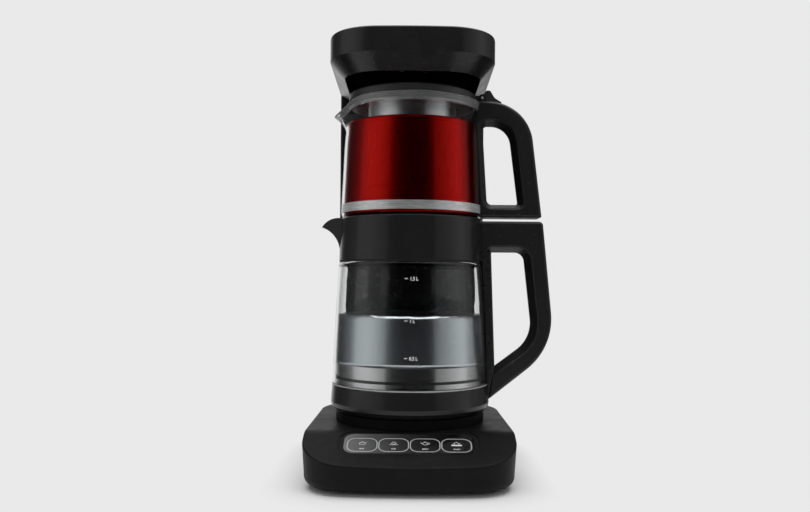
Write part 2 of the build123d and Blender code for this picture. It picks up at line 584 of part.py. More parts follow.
def kettle_form(gap):
    """The kettle's outside, grown by gap, for fitting the handle to it."""
    return turned(
        (0, KETTLE_BOTTOM - 1), (70.7 + gap, KETTLE_BOTTOM - 1), (74.5 + gap, 59.2), (75 + gap, 63),
        (73.9 + gap, KETTLE_RING_TOP), (73.5 + gap, GLASS_LOW), (72.05 + gap, 129), (70.15 + gap, 165),
        (68.4 + gap, 190), (COLLAR_LOW_RADIUS + gap, COLLAR_LOW), (COLLAR_TOP_RADIUS + gap, COLLAR_TOP + 1),
        (0, COLLAR_TOP + 1),
    )


def kettle_ring():
    body = turned(
        (66, KETTLE_BOTTOM), (70.7, KETTLE_BOTTOM), (74.5, 59.2), (75, 63), (73.9, 78.4),
        (73.2, KETTLE_RING_TOP), (PAN_RADIUS + 0.05, KETTLE_RING_TOP), (PAN_RADIUS + 0.05, 76.5),
        (71.2, 76.5), (72.2, 63), (71.4, 59.8), (68.5, 57.8), (66, 57.8),
    )
    body -= rod(PORT_RADIUS + 0.2, (0, 60, DOCK_HEIGHT), (0, 90, DOCK_HEIGHT))
    for x in CONTACT_X:
        body -= box(x - 0.8, x + 0.8, 55, 90, DOCK_HEIGHT - 4.2, DOCK_HEIGHT + 4.2)
    return body


def kettle_bottom_cover():
    body = post(0, 0, 65.9, KETTLE_BOTTOM, KETTLE_BOTTOM + 2)
    for turn in range(3):
        body += Rot(0, 0, 120 * turn - 90) * post(46, 0, 4, KETTLE_BOTTOM + 1, 72)
    return body + box(-31, 31, 42, 49.5, KETTLE_BOTTOM + 1, DOCK_HEIGHT + 5)


def heater_pan():
    """Steel floor of the kettle, with the rim that stands inside the glass and the outlet hole."""
    inner = PAN_RADIUS - PAN_WALL
    body = turned(
        (0, PAN_FLOOR), (inner, PAN_FLOOR), (inner, 76.8), (PAN_RADIUS, 76.8), (PAN_RADIUS, PAN_RIM),
        (inner, PAN_RIM), (inner, PAN_FLOOR + PAN_WALL), (0, PAN_FLOOR + PAN_WALL),
    )
    return body - post(0, OUTLET_Y, OUTLET_BORE, 70, 90)


def pan_gasket():
    return ring(70.75, PAN_RADIUS, 84.8, 87.2)


def glass_seat():
    return ring(73.6, PAN_RADIUS + 0.05, KETTLE_RING_TOP, GLASS_LOW)


def heater_element():
    """Aluminium plate under the pan with the heating tube round it."""
    body = post(0, 0, 64, PAN_FLOOR - 3, PAN_FLOOR) - post(0, OUTLET_Y, 9, 70, 90)
    tube = Pos(0, 0, PAN_FLOOR - 4) * Torus(38, 4)
    gap = box(-9, 9, 20, 60, 60, PAN_FLOOR - 3)
    return body + (tube - gap - post(0, 0, 64, PAN_FLOOR - 1, 90))


def thermostat():
    return post(0, 0, 12, 70, PAN_FLOOR - 3) + box(-5, 5, -20, -8, 72, 74)


def along_port(radius, y0, y1):
    return rod(radius, (0, y0, DOCK_HEIGHT), (0, y1, DOCK_HEIGHT))


def outlet_body():
    """Drain under the pan that turns back to the dock, with the valve's seat and chamber in its spigot."""
    body = post(0, OUTLET_Y, DRAIN_RADIUS, DOCK_HEIGHT - 7, PAN_FLOOR)
    body += post(0, OUTLET_Y, DRAIN_RADIUS + 1.9, PAN_FLOOR - 2, PAN_FLOOR)
    body += along_port(PORT_RADIUS, OUTLET_Y, SPIGOT_END_Y)
    body -= post(0, OUTLET_Y, OUTLET_BORE, DOCK_HEIGHT - 4, 90)
    body -= along_port(2.4, OUTLET_Y, SPIGOT_END_Y + 1)
    return body - along_port(4.6, VALVE_SEAT_Y, VALVE_END_Y)


def outlet_poppet():
    """Disc that the spring holds on the seat, with a stem that guides the spring."""
    disc = along_port(3.9, VALVE_SEAT_Y + 0.05, VALVE_SEAT_Y + 2.2)
    return disc + along_port(1.3, VALVE_SEAT_Y + 2, VALVE_END_Y - VALVE_TRAVEL - 4)


def outlet_spring():
    """Coil between the poppet and the end of its chamber."""
    low, high, turns = VALVE_SEAT_Y + 2.6, VALVE_END_Y - 0.4, 6
    path = Helix(pitch=(high - low) / turns, height=high - low, radius=2.7)
    wire = sweep(Plane(origin=path @ 0, z_dir=path % 0) * Circle(0.35), path=path, is_frenet=True)
    return Pos(0, low, DOCK_HEIGHT) * (Rot(-90, 0, 0) * wire)


def kettle_contacts():
    """Blades that stand back out of the ring."""
    return [box(x - 0.6, x + 0.6, 49.5, 88, DOCK_HEIGHT - 4, DOCK_HEIGHT + 4) for x in CONTACT_X]


def kettle_collar():
    """Black top of the kettle: seat for the teapot, mouth and pouring beak."""
    low, top = COLLAR_LOW, COLLAR_TOP
    body = turned(
        (64.6, low), (COLLAR_LOW_RADIUS, low), (COLLAR_TOP_RADIUS, top - 1.2),
        (COLLAR_TOP_RADIUS - 1.2, top), (KETTLE_MOUTH_RADIUS, top), (KETTLE_MOUTH_RADIUS, top - 3),
        (63.8, top - 3), (64.6, low + 4),
    )
    body += beak(0) - post(0, 0, 65.0, 190, 240)
    channel = Pos(2.6, 0, 2.2) * beak(2.0)
    body -= channel & box(-90, -50, -20, 20, 190, top - 3)
    body -= (channel + Pos(0, 0, 6) * channel) - post(0, 0, 65.2, 190, 260)
    for z in HANDLE_SCREW_HEIGHTS:
        body -= rod(SCREW_RADIUS + 0.1, (60, 0, z), (72, 0, z))
    return body


def beak(narrower):
    """Pouring beak: a side outline with an arched back and a hollow throat, cut to a narrow plan."""
    tip, back, throat = (-85.1, 226.0), (-69.0, COLLAR_TOP), (-67.3, 204.7)
    root = -55
    inside = Polyline(back, (root, back[1]), (root, throat[1]), throat)
    side = [ThreePointArc(tip, (-78.6, 232.3), back), inside, ThreePointArc(throat, (-73.6, 218.6), tip)]
    body = extrude(Plane.XZ * make_face(side), 30, both=True)
    wide, middle, point = 14.5 - narrower, 6.6 - 0.8 * narrower, max(2.0 - narrower, 0.4)
    flanks = [ThreePointArc((-86, way * point), (-74, way * middle), (root, way * wide)) for way in (-1, 1)]
    plan = [*flanks, Line((-86, -point), (-86, point)), Line((root, wide), (root, -wide))]
    return body & (Pos(0, 0, COLLAR_LOW) * extrude(make_face(plan), 60))


def collar_gasket():
    return ring(66.6, 64.6, GLASS_HIGH, COLLAR_LOW)


def kettle_handle():
    body = slab(KETTLE_GRIP, KETTLE_GRIP_RADII, HANDLE_HALF_WIDTH)
    body -= finger_gap(KETTLE_GAP, KETTLE_GAP_RADII, KETTLE_GAP_FLARE)
    body = fillet(long_edges(body), HANDLE_EDGE)
    body -= slab(KETTLE_STRIP_ROOM, [0] * 5, 20)
    body -= kettle_form(0.1)
    for z in HANDLE_SCREW_HEIGHTS:
        body -= rod(SCREW_RADIUS, (60, 0, z), (76, 0, z))
    return body


def long_edges(body):
    """The edges that lie in the body's two side faces."""
    return body.edges().filter_by(lambda e: abs(abs(e.center().Y) - HANDLE_HALF_WIDTH) < 0.01)


def kettle_handle_strip():
    body = slab(KETTLE_STRIP, [0] * 5, HANDLE_HALF_WIDTH - 0.5)
    outer = body.edges().filter_by(lambda e: e.center().X > 74 and abs(e.center().Y) > 5)
    return fillet(outer, 2) - kettle_form(0.1)


def kettle_handle_screws():
    turn = Rot(0, 90, 0)
    return [screw(63.6, 0, z, turn) for z in HANDLE_SCREW_HEIGHTS]


# ---- teapot ----
def teapot_profile(inset):
    """Half outline of the teapot glass, from its foot to its rim."""
    return Spline(
        (64.4 - inset, 242), (64.0 - inset, 252), (62.9 - inset, 276), (61.6 - inset, 304),
        (60.1 - inset, 325), (61.0 - inset, 336), (63.0 - inset, TEAPOT_RIM),
    )


def teapot_solid(inset):
    """The teapot's turned form, closed on the axis."""
    side = teapot_profile(inset)
    low = TEAPOT_LOW + inset
    corner = 5.0
    start = side @ 0
    foot = [Line((0, low), (start.X - corner, low)), Line((start.X - corner, low), (start.X, low + corner)),
            Line((start.X, low + corner), start)]
    top = [Line(side @ 1, (0, TEAPOT_RIM)), Line((0, TEAPOT_RIM), (0, low))]
    return revolve(Plane.XZ * make_face([*foot, side, *top]), Axis.Z)


def spout_cone(inset, length):
    """A cone from near the spout's tip back into the pot."""
    start = 1.8 - inset * 0.6
    spread = math.tan(math.radians(SPOUT_SPREAD))
    plane = Plane(origin=(SPOUT_TIP[0], 0, SPOUT_TIP[1]), x_dir=(0, 1, 0),
                  z_dir=(math.cos(math.radians(SPOUT_RISE)), 0, math.sin(math.radians(SPOUT_RISE))))
    cone = Cone(start, start + length * spread, length, align=(Align.CENTER, Align.CENTER, Align.MIN))
    return plane * cone, plane


def teapot_glass():
    """Thin blown glass with a pouring lip, open at the top."""
    outer, plane = spout_cone(0, 20)
    lower = plane * box(-60, 60, -60, 0, -5, 60)
    inner, _ = spout_cone(1.9, 25)
    hollow = teapot_solid(GLASS_WALL) + post(0, 0, 40, 300, 360) + inner
    return teapot_solid(0) + (outer & lower) - hollow


def teapot_band():
    body = ring(BAND_RADIUS, BAND_RADIUS - 0.8, BAND_LOW, BAND_HIGH)
    return body + box(BAND_RADIUS - 0.6, BAND_RADIUS + 0.8, -7, 7, BAND_LOW, BAND_HIGH)


def teapot_form(gap):
    """The teapot's outside, grown by gap, for fitting the handle to it."""
    return turned(
        (0, TEAPOT_LOW - 1), (BAND_RADIUS + gap, TEAPOT_LOW - 1), (BAND_RADIUS + gap, 252),
        (63.2 + gap, 276), (61.9 + gap, 304), (60.6 + gap, 325), (61.4 + gap, 336), (63.1 + gap, 341),
        (63.1 + gap, 400), (0, 400),
    )


def teapot_handle():
    body = slab(TEAPOT_GRIP, TEAPOT_GRIP_RADII, HANDLE_HALF_WIDTH)
    body -= finger_gap(TEAPOT_GAP, TEAPOT_GAP_RADII, TEAPOT_GAP_FLARE)
    body = fillet(long_edges(body), HANDLE_EDGE)
    ears = rod(3.4, (HINGE_X, -11, HINGE_Z), (HINGE_X, 11, HINGE_Z)) + box(63.4, 69.4, -11, 11, 343, HINGE_Z)
    body += ears
    body -= slab(TAB_ROOM, [0] * 7, 8.2)
    body -= rod(HINGE_PIN_RADIUS, (HINGE_X, -14, HINGE_Z), (HINGE_X, 14, HINGE_Z))
    body -= teapot_form(0.1)
    body -= box(60, 66.2, -7.2, 7.2, BAND_LOW - 0.1, BAND_HIGH + 0.1)
    return body - rod(SCREW_RADIUS, (60, 0, BAND_MIDDLE), (77, 0, BAND_MIDDLE))


def band_bolt():
    """Stud welded to the band, which the handle is drawn onto."""
    return rod(SCREW_RADIUS, (BAND_RADIUS + 0.8, 0, BAND_MIDDLE), (BAND_RADIUS + 10, 0, BAND_MIDDLE))


def hinge_pin():
    return rod(HINGE_PIN_RADIUS, (HINGE_X, -10.6, HINGE_Z), (HINGE_X, 10.6, HINGE_Z))


def strainer():
    """Steel basket for the leaves, hung in the neck by its rim."""
    wall = 0.6
    r = STRAINER_RADIUS
    body = turned(
        (0, STRAINER_LOW), (r - 2, STRAINER_LOW), (r, STRAINER_LOW + 2), (r, STRAINER_RIM),
        (57.9, STRAINER_RIM + wall), (57.9, STRAINER_RIM + 2 * wall), (r - wall, STRAINER_RIM + wall),
        (r - wall, STRAINER_LOW + 2.2), (r - 2.2, STRAINER_LOW + wall), (0, STRAINER_LOW + wall),
    )
    for row in range(3):
        for turn in range(20):
            slot = box(r - 4, r + 4, -1.2, 1.2, STRAINER_LOW + 6 + 16 * row, STRAINER_LOW + 18 + 16 * row)
            body -= Rot(0, 0, 18 * turn + 9 * (row % 2)) * slot
    return body


def lid_disc():
    """Lid with the sunk inlet in its middle and the thumb tab over the handle."""
    body = turned(
        (LID_INLET_RADIUS, LID_LOW), (LID_RADIUS, LID_LOW), (LID_RADIUS, LID_TOP - 1.2),
        (LID_RADIUS - 1.2, LID_TOP), (24, LID_TOP), (19, LID_TOP - 2.6), (LID_INLET_RADIUS, LID_TOP - 3.6),
    )
    arm = box(52, HINGE_X, -7.8, 7.8, LID_LOW + 1.2, LID_TOP)
    tab = slab(TAB, TAB_RADII, 7.8)
    knuckle = rod(3.2, (HINGE_X, -7.8, HINGE_Z), (HINGE_X, 7.8, HINGE_Z))
    body = body + arm + knuckle + tab
    return body - rod(HINGE_PIN_RADIUS + RUNNING_GAP, (HINGE_X, -9, HINGE_Z), (HINGE_X, 9, HINGE_Z))


def lid_gasket():
    return ring(LID_RADIUS - 1.6, LID_RADIUS - 3.8, LID_LOW - 3.2, LID_LOW)


def build():
    os.makedirs("parts", exist_ok=True)
    save("base_tray", base_tray())
    save("base_cover", base_cover())
    save("feet", *feet())
    save("plinth", plinth())
    save("case_screws", *case_screws())
    save("panel_fascia", panel_fascia())
    save("key_rings", *key_rings())
    for index, name in enumerate(KEY_NAMES):
        save(name, key(index))
    save("control_board", control_board())
    save("key_switches", *key_switches())
    save("power_board", power_board())
    save("power_parts", *power_parts())
    save("pump_housing", pump_housing())
    save("pump_motor", pump_motor())
    save("pump_rotor", pump_rotor())
    save("inlet_hose", inlet_hose())
    save("riser_hose", riser_hose())
    save("dock_socket", dock_socket())
    save("dock_o_ring", dock_o_ring())
    save("dock_contacts", *dock_contacts())
    save("cord_gland", cord_gland())
    save("column_front_cover", column_front_cover())
    save("column_rear_cover", column_rear_cover())
    save("column_frame", column_frame())
    save("head_shell", head_shell())
    save("head_top_cover", head_top_cover())
    save("head_ceiling", head_ceiling())
    save("outlet_nozzle", outlet_nozzle())
    save("nozzle_gasket", nozzle_gasket())
    save("wireless_board", wireless_board())
    save("kettle_glass", glass_tube())
    save("kettle_ring", kettle_ring())
    save("kettle_bottom_cover", kettle_bottom_cover())
    save("heater_pan", heater_pan())
    save("pan_gasket", pan_gasket())
    save("glass_seat", glass_seat())
    save("heater_element", heater_element())
    save("thermostat", thermostat())
    save("outlet_body", outlet_body())
    save("outlet_poppet", outlet_poppet())
    save("outlet_spring", outlet_spring())
    save("kettle_contacts", *kettle_contacts())
    save("kettle_collar", kettle_collar())
    save("collar_gasket", collar_gasket())
    save("kettle_handle", kettle_handle())
    save("kettle_handle_strip", kettle_handle_strip())
    save("kettle_handle_screws", *kettle_handle_screws())
    save("teapot_glass", teapot_glass())
    save("teapot_band", teapot_band())
    save("band_bolt", band_bolt())
    save("teapot_handle", teapot_handle())
    save("hinge_pin", hinge_pin())
    save("strainer", strainer())
    save("lid_disc", lid_disc())
    save("lid_gasket", lid_gasket())


build()
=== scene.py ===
"""Automatic tea maker: its finishes, liquids, glass and markings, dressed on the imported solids.

Each operator finishes or makes one piece, or one group of like pieces, and may be run on its own. Lengths
are in metres, +Z is up, the keys face -Y, and AXIS is the upright centre line of the kettle and teapot.
"""
import math
import random

import bmesh
import bpy
from mathutils import Matrix, Vector, noise


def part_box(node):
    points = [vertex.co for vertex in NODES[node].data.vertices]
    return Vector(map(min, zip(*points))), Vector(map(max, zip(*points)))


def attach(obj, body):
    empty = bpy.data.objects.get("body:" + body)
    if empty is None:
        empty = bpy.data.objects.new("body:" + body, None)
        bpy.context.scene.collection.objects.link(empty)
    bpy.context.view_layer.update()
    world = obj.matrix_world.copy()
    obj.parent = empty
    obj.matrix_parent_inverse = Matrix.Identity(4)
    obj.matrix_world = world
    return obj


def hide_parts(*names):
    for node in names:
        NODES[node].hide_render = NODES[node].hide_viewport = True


bl_info = {
    "name": "Tea maker",
    "version": (1, 0, 0),
    "blender": (4, 5, 0),
    "location": "3D View > Sidebar > Tea maker",
    "description": "Gives the solids of a tea maker their finishes, liquids, glass and markings",
    "category": "Object",
}

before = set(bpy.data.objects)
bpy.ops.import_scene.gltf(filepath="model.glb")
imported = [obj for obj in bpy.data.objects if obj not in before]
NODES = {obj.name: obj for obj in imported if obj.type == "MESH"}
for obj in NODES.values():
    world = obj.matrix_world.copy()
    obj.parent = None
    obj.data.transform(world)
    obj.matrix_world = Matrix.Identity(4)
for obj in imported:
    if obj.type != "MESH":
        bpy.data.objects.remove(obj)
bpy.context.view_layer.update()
RING_LOW, RING_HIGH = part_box("kettle_ring")
AXIS = Vector(((RING_LOW.x + RING_HIGH.x) / 2, (RING_LOW.y + RING_HIGH.y) / 2, 0))

MM = 0.001
KEYS = ("key_kettle", "key_cup", "key_teapot", "key_start")
KEY_WORDS = ("BOIL", "CUP", "BREW", "START")
PANEL_SLOPE = math.radians(19.8)
PANEL_UP = Vector((0, math.cos(PANEL_SLOPE), math.sin(PANEL_SLOPE)))
PANEL_OUT = Vector((0, -math.sin(PANEL_SLOPE), math.cos(PANEL_SLOPE)))
POT_WALL = 2.2 * MM
TEA_SKIN = 0.2 * MM                      # the tea reaches this near to the outside of the glass, as it looks
FILM = 0.05 * MM                         # thickness of a print, and the gap that keeps two skins apart
LINE_WIDTH = 0.42 * MM                   # of the pictograms on the keys
LETTER_WEIGHT = 0.028                    # how far lettering is thickened, as a share of its size


# ---- sizes and colours that a user may change ----
class TeaMakerFinishes(bpy.types.PropertyGroup):
    """Colours of the mouldings and metals."""

    casing: bpy.props.FloatVectorProperty(
        name="Casing", description="Semi-gloss plastic of the column and head",
        subtype="COLOR", default=(0.015, 0.015, 0.0152), min=0, max=1)
    base: bpy.props.FloatVectorProperty(
        name="Base", description="Matt plastic of the base",
        subtype="COLOR", default=(0.0052, 0.0052, 0.0053), min=0, max=1)
    gloss: bpy.props.FloatVectorProperty(
        name="Gloss trim", description="Gloss plastic of the kettle's collar and ring",
        subtype="COLOR", default=(0.0165, 0.0165, 0.0167), min=0, max=1)
    handle: bpy.props.FloatVectorProperty(
        name="Handles", description="Fine grained plastic of both handles",
        subtype="COLOR", default=(0.011, 0.011, 0.0112), min=0, max=1)
    steel: bpy.props.FloatVectorProperty(
        name="Steel", description="Bright stainless steel", subtype="COLOR", default=(0.66, 0.66, 0.67),
        min=0, max=1)
    marking: bpy.props.FloatVectorProperty(
        name="Markings", description="White print on the glass and the keys",
        subtype="COLOR", default=(0.85, 0.86, 0.87), min=0, max=1)


class TeaMakerLiquids(bpy.types.PropertyGroup):
    """Water in the kettle and tea in the teapot."""

    water_level: bpy.props.FloatProperty(
        name="Water level", description="Height of the water's surface", unit="LENGTH", default=0.1445)
    ripple: bpy.props.FloatProperty(
        name="Ripple", description="Height of the ripples on the boiling water", unit="LENGTH",
        default=0.0011)
    bubbles: bpy.props.IntProperty(
        name="Bubbles", description="Bubbles that rise in the water", default=190, min=0)
    tea_level: bpy.props.FloatProperty(
        name="Tea level", description="Height of the tea's surface", unit="LENGTH", default=0.3225)
    tea: bpy.props.FloatVectorProperty(
        name="Tea", description="Light that a short way through the tea lets pass",
        subtype="COLOR", default=(0.80, 0.04, 0.01), min=0, max=1)
    tea_strength: bpy.props.FloatProperty(
        name="Tea strength", description="How fast the tea takes light away, for each metre", default=190.0)


class TeaMakerStudio(bpy.types.PropertyGroup):
    """Camera, lamps and floor."""

    camera_distance: bpy.props.FloatProperty(
        name="Camera distance", description="From the lens to the pots' centre line", unit="LENGTH",
        default=0.785)
    camera_height: bpy.props.FloatProperty(
        name="Camera height", description="Height of the lens", unit="LENGTH", default=0.1757)
    lens: bpy.props.FloatProperty(
        name="Lens", description="Focal length in millimetres", default=36.53)
    roll: bpy.props.FloatProperty(
        name="Roll", description="Turn of the camera about its own line", subtype="ANGLE",
        default=math.radians(-0.5))
    backdrop: bpy.props.FloatProperty(
        name="Backdrop", description="Grey of the backdrop, as light", default=0.82, min=0, max=1)
    softboxes: bpy.props.FloatProperty(
        name="Softboxes", description="Brightness of the two side softboxes", default=0.22, min=0)
    overhead: bpy.props.FloatProperty(
        name="Overhead", description="Brightness of the softbox overhead", default=2.4, min=0)
    fill: bpy.props.FloatProperty(
        name="Fill", description="Brightness of the fill behind the camera, which gloss doesn't show",
        default=1.2, min=0)


# ---- shader helpers ----
def new_finish(name, color, roughness, metallic=0.0, **sockets):
    """A material with one Principled shader; returns it, its node tree and the shader."""
    material = bpy.data.materials.new(name)
    material.use_nodes = True
    tree = material.node_tree
    shader = tree.nodes["Principled BSDF"]
    shader.inputs["Base Color"].default_value = (*color, 1)
    shader.inputs["Roughness"].default_value = roughness
    shader.inputs["Metallic"].default_value = metallic
    for socket, value in sockets.items():
        shader.inputs[socket.replace("_", " ")].default_value = value
    material.diffuse_color = (*color, 1)
    return material, tree, shader


def own_place(tree, stretch=(1, 1, 1)):
    """The object's own coordinates, stretched for a grain that runs one way."""
    coordinates = tree.nodes.new("ShaderNodeTexCoord")
    mapping = tree.nodes.new("ShaderNodeMapping")
    mapping.inputs["Scale"].default_value = stretch
    tree.links.new(coordinates.outputs["Object"], mapping.inputs["Vector"])
    return mapping.outputs["Vector"]


def grain(tree, place, size, detail=2.0):
    """Noise with features of about that size."""
    texture = tree.nodes.new("ShaderNodeTexNoise")
    texture.inputs["Scale"].default_value = 1 / size
    texture.inputs["Detail"].default_value = detail
    tree.links.new(place, texture.inputs["Vector"])
    return texture.outputs["Fac"]


def spread(tree, value, low, high, start=0.3, end=0.7):
    """A value from start to end, spread between low and high."""
    ranged = tree.nodes.new("ShaderNodeMapRange")
    for socket, number in zip(("From Min", "From Max", "To Min", "To Max"), (start, end, low, high)):
        ranged.inputs[socket].default_value = number
    tree.links.new(value, ranged.inputs["Value"])
    return ranged.outputs["Result"]


def ramp(tree, value, *stops):
    """Colours along a value; each stop is (position, colour)."""
    node = tree.nodes.new("ShaderNodeValToRGB")
    elements = node.color_ramp.elements
    while len(elements) < len(stops):
        elements.new(0.5)
    for element, (position, color) in zip(elements, stops):
        element.position = position
        element.color = (*color, 1)
    tree.links.new(value, node.inputs["Fac"])
    return node.outputs["Color"]


def shade(color, factor):
    """A lighter or darker colour."""
    return tuple(min(0.95, part * factor) for part in color)


def mottle(tree, shader, color, size, depth=0.25, place=None):
    """Lets the base colour drift a little either side of color."""
    drift = grain(tree, place or own_place(tree), size, 3)
    stops = ((0.25, shade(color, 1 - depth)), (0.75, shade(color, 1 + depth)))
    tree.links.new(ramp(tree, drift, *stops), shader.inputs["Base Color"])


def uneven(tree, shader, low, high, size, place=None):
    """Lets the roughness drift between low and high."""
    drift = grain(tree, place or own_place(tree), size, 4)
    tree.links.new(spread(tree, drift, low, high), shader.inputs["Roughness"])


def relief(tree, shader, height, depth, strength=1.0):
    """Bump of that depth from a height value."""
    bump = tree.nodes.new("ShaderNodeBump")
    bump.inputs["Strength"].default_value = strength
    bump.inputs["Distance"].default_value = depth
    tree.links.new(height, bump.inputs["Height"])
    tree.links.new(bump.outputs["Normal"], shader.inputs["Normal"])


def paint(material, *names):
    """Gives CAD nodes a material."""
    for name in names:
        for slot in NODES[name].material_slots:
            slot.material = material


# ---- finishes ----
def moulded_casing(color, name, low, high, **sockets):
    """Moulded casing plastic with a faint orange peel; its roughness drifts between low and high."""
    material, tree, shader = new_finish(name, color, (low + high) / 2, IOR=1.5, **sockets)
    place = own_place(tree)
    mottle(tree, shader, color, 0.03, 0.2, place)
    uneven(tree, shader, low, high, 0.012, place)
    relief(tree, shader, grain(tree, place, 0.0009, 3), 0.00002, 0.25)
    return material


def painted_shade_black(name, roughness=0.75):
    """Matt near-black moulding, far darker than the casing: painted shade for the recess of the head, and
    for the plinth, which is black and also carries painted shadow.
    """
    # far darker than the casing: painted shade
    color = (0.0016, 0.0016, 0.0017)
    material, tree, shader = new_finish(name, color, roughness, Specular_IOR_Level=0.12)
    place = own_place(tree)
    mottle(tree, shader, color, 0.006, 0.3, place)
    uneven(tree, shader, roughness - 0.08, roughness + 0.1, 0.004, place)
    relief(tree, shader, grain(tree, place, 0.0006, 3), 0.00004, 0.3)
    return material


def gloss_trim(color):
    """High gloss plastic with faint wipe marks."""
    material, tree, shader = new_finish("gloss_trim", color, 0.18, IOR=1.5, Specular_IOR_Level=0.35)
    place = own_place(tree)
    mottle(tree, shader, color, 0.05, 0.15, place)
    uneven(tree, shader, 0.15, 0.22, 0.02, own_place(tree, (1, 1, 3)))
    relief(tree, shader, grain(tree, place, 0.004, 2), 0.00002, 0.12)
    return material


def handle_grip(color, name="handle_plastic", roughness=0.42):
    """Fine grained grip plastic with sparse pale specks."""
    material, tree, shader = new_finish(name, color, roughness, IOR=1.5)
    place = own_place(tree)
    specks = tree.nodes.new("ShaderNodeTexVoronoi")
    specks.inputs["Scale"].default_value = 190
    specks.inputs["Randomness"].default_value = 1
    tree.links.new(place, specks.inputs["Vector"])
    dots = ramp(tree, specks.outputs["Distance"], (0.045, shade(color, 16)), (0.075, color))
    tree.links.new(dots, shader.inputs["Base Color"])
    uneven(tree, shader, roughness - 0.05, roughness + 0.06, 0.006, place)
    relief(tree, shader, grain(tree, place, 0.00035, 4), 0.00004, 0.45)
    return material


def brushed_steel(color, name="brushed_steel", roughness=0.24, stretch=(3, 3, 260), metal=1.0):
    """Stainless steel with fine lines of polish; a smaller share of metal makes it paler and more matt."""
    material, tree, shader = new_finish(name, color, roughness, metal, IOR=2.5)
    lines = grain(tree, own_place(tree, stretch), 0.05, 6)
    tree.links.new(spread(tree, lines, roughness - 0.07, roughness + 0.08), shader.inputs["Roughness"])
    mottle(tree, shader, color, 0.02, 0.06)
    relief(tree, shader, lines, 0.000015, 0.3)
    return material


def clear_glass(name, ior):
    """Blown glass, smooth, with the slightest waviness."""
    material, tree, shader = new_finish(name, (0.985, 0.995, 0.99), 0.0, Transmission_Weight=1.0, IOR=ior)
    relief(tree, shader, grain(tree, own_place(tree), 0.035, 1), 0.0002, 0.05)
    return material


def pale_rim_painted_highlight():
    """Lip of the glass made milky and pale, a painted highlight for the light that the clear rim catches."""
    color = (0.86, 0.88, 0.89)
    material, tree, shader = new_finish("pale_rim_painted_highlight", color, 0.06, Transmission_Weight=0.84, IOR=1.45)
    mottle(tree, shader, color, 0.02, 0.12)
    return material


def soft_rubber(color, name, roughness=0.6):
    """Rubber with a fine dull grain."""
    material, tree, shader = new_finish(name, color, roughness)
    place = own_place(tree)
    mottle(tree, shader, color, 0.004, 0.2, place)
    relief(tree, shader, grain(tree, place, 0.0004, 3), 0.00005, 0.4)
    return material


def cloudy_silicone():
    """Translucent hose and seal silicone."""
    color = (0.74, 0.75, 0.73)
    material, tree, shader = new_finish("cloudy_silicone", color, 0.38, Transmission_Weight=0.35, IOR=1.41)
    place = own_place(tree)
    mottle(tree, shader, color, 0.01, 0.08, place)
    uneven(tree, shader, 0.3, 0.45, 0.004, place)
    return material


def inner_moulding():
    """Matt dark grey plastic of the hidden mouldings."""
    color = (0.042, 0.043, 0.046)
    material, tree, shader = new_finish("inner_moulding", color, 0.55)
    place = own_place(tree)
    mottle(tree, shader, color, 0.008, 0.2, place)
    relief(tree, shader, grain(tree, place, 0.0005, 3), 0.00005, 0.4)
    return material


def cast_aluminium():
    """Die cast aluminium, a little cloudy."""
    color = (0.56, 0.56, 0.57)
    material, tree, shader = new_finish("cast_aluminium", color, 0.42, 1.0)
    place = own_place(tree)
    mottle(tree, shader, color, 0.006, 0.12, place)
    uneven(tree, shader, 0.36, 0.5, 0.003, place)
    relief(tree, shader, grain(tree, place, 0.0012, 4), 0.0001, 0.5)
    return material


def contact_brass():
    """Plain brass contacts with rubbed streaks."""
    color = (0.72, 0.53, 0.24)
    material, tree, shader = new_finish("contact_brass", color, 0.28, 1.0)
    uneven(tree, shader, 0.2, 0.4, 0.01, own_place(tree, (40, 1, 40)))
    mottle(tree, shader, color, 0.003, 0.15)
    return material


def circuit_board():
    """Green solder mask with lighter tracks under it."""
    material, tree, shader = new_finish("circuit_board", (0.012, 0.10, 0.035), 0.35)
    tracks = tree.nodes.new("ShaderNodeTexBrick")
    for socket, number in (("Scale", 90), ("Mortar Size", 0.03), ("Brick Width", 0.9), ("Row Height", 0.12)):
        tracks.inputs[socket].default_value = number
    tracks.inputs["Color1"].default_value = (0.010, 0.09, 0.032, 1)
    tracks.inputs["Color2"].default_value = (0.014, 0.11, 0.040, 1)
    tracks.inputs["Mortar"].default_value = (0.05, 0.26, 0.09, 1)
    tree.links.new(own_place(tree), tracks.inputs["Vector"])
    tree.links.new(tracks.outputs["Color"], shader.inputs["Base Color"])
    return material


def panel_painted_reflection(name, left, right):
    """Gloss black panel with a painted reflection: its colour fades from grey at its left end to black at
    its right.
    """
    material, tree, shader = new_finish(name, (0.004, 0.004, 0.0045), 0.16, IOR=1.5)
    coordinates = tree.nodes.new("ShaderNodeTexCoord")
    parts = tree.nodes.new("ShaderNodeSeparateXYZ")
    tree.links.new(coordinates.outputs["Object"], parts.inputs["Vector"])
    along = spread(tree, parts.outputs["X"], 0, 1, left, right)
    # painted reflection: grey at the left end of the panel, fading to black towards its right
    stops = ((0.0, 0.17), (0.22, 0.085), (0.45, 0.032), (0.68, 0.010), (0.85, 0.003))
    painted_reflection_tint = ramp(tree, along, *((place, (grey, grey, grey * 1.02)) for place, grey in stops))
    tree.links.new(painted_reflection_tint, shader.inputs["Base Color"])
    uneven(tree, shader, 0.12, 0.2, 0.01)
    return material


def white_print(color):
    """Screen printed white ink."""
    material, tree, shader = new_finish("white_print", color, 0.45)
    mottle(tree, shader, color, 0.0006, 0.08)
    return material


def light_guide(color):
    """Milky ring round a key."""
    material, tree, shader = new_finish("light_guide", shade(color, 0.62), 0.3)
    mottle(tree, shader, shade(color, 0.62), 0.002, 0.12)
    uneven(tree, shader, 0.25, 0.4, 0.002)
    return material


def liquid(name, color, ior, sheen, roughness):
    """Liquid that lets light through, with a share of soft sheen, in its colour, from what it carries."""
    edge = (*shade(color, 0.5), 1)
    return new_finish(name, color, roughness, sheen, Transmission_Weight=1.0, IOR=ior, Specular_Tint=edge)


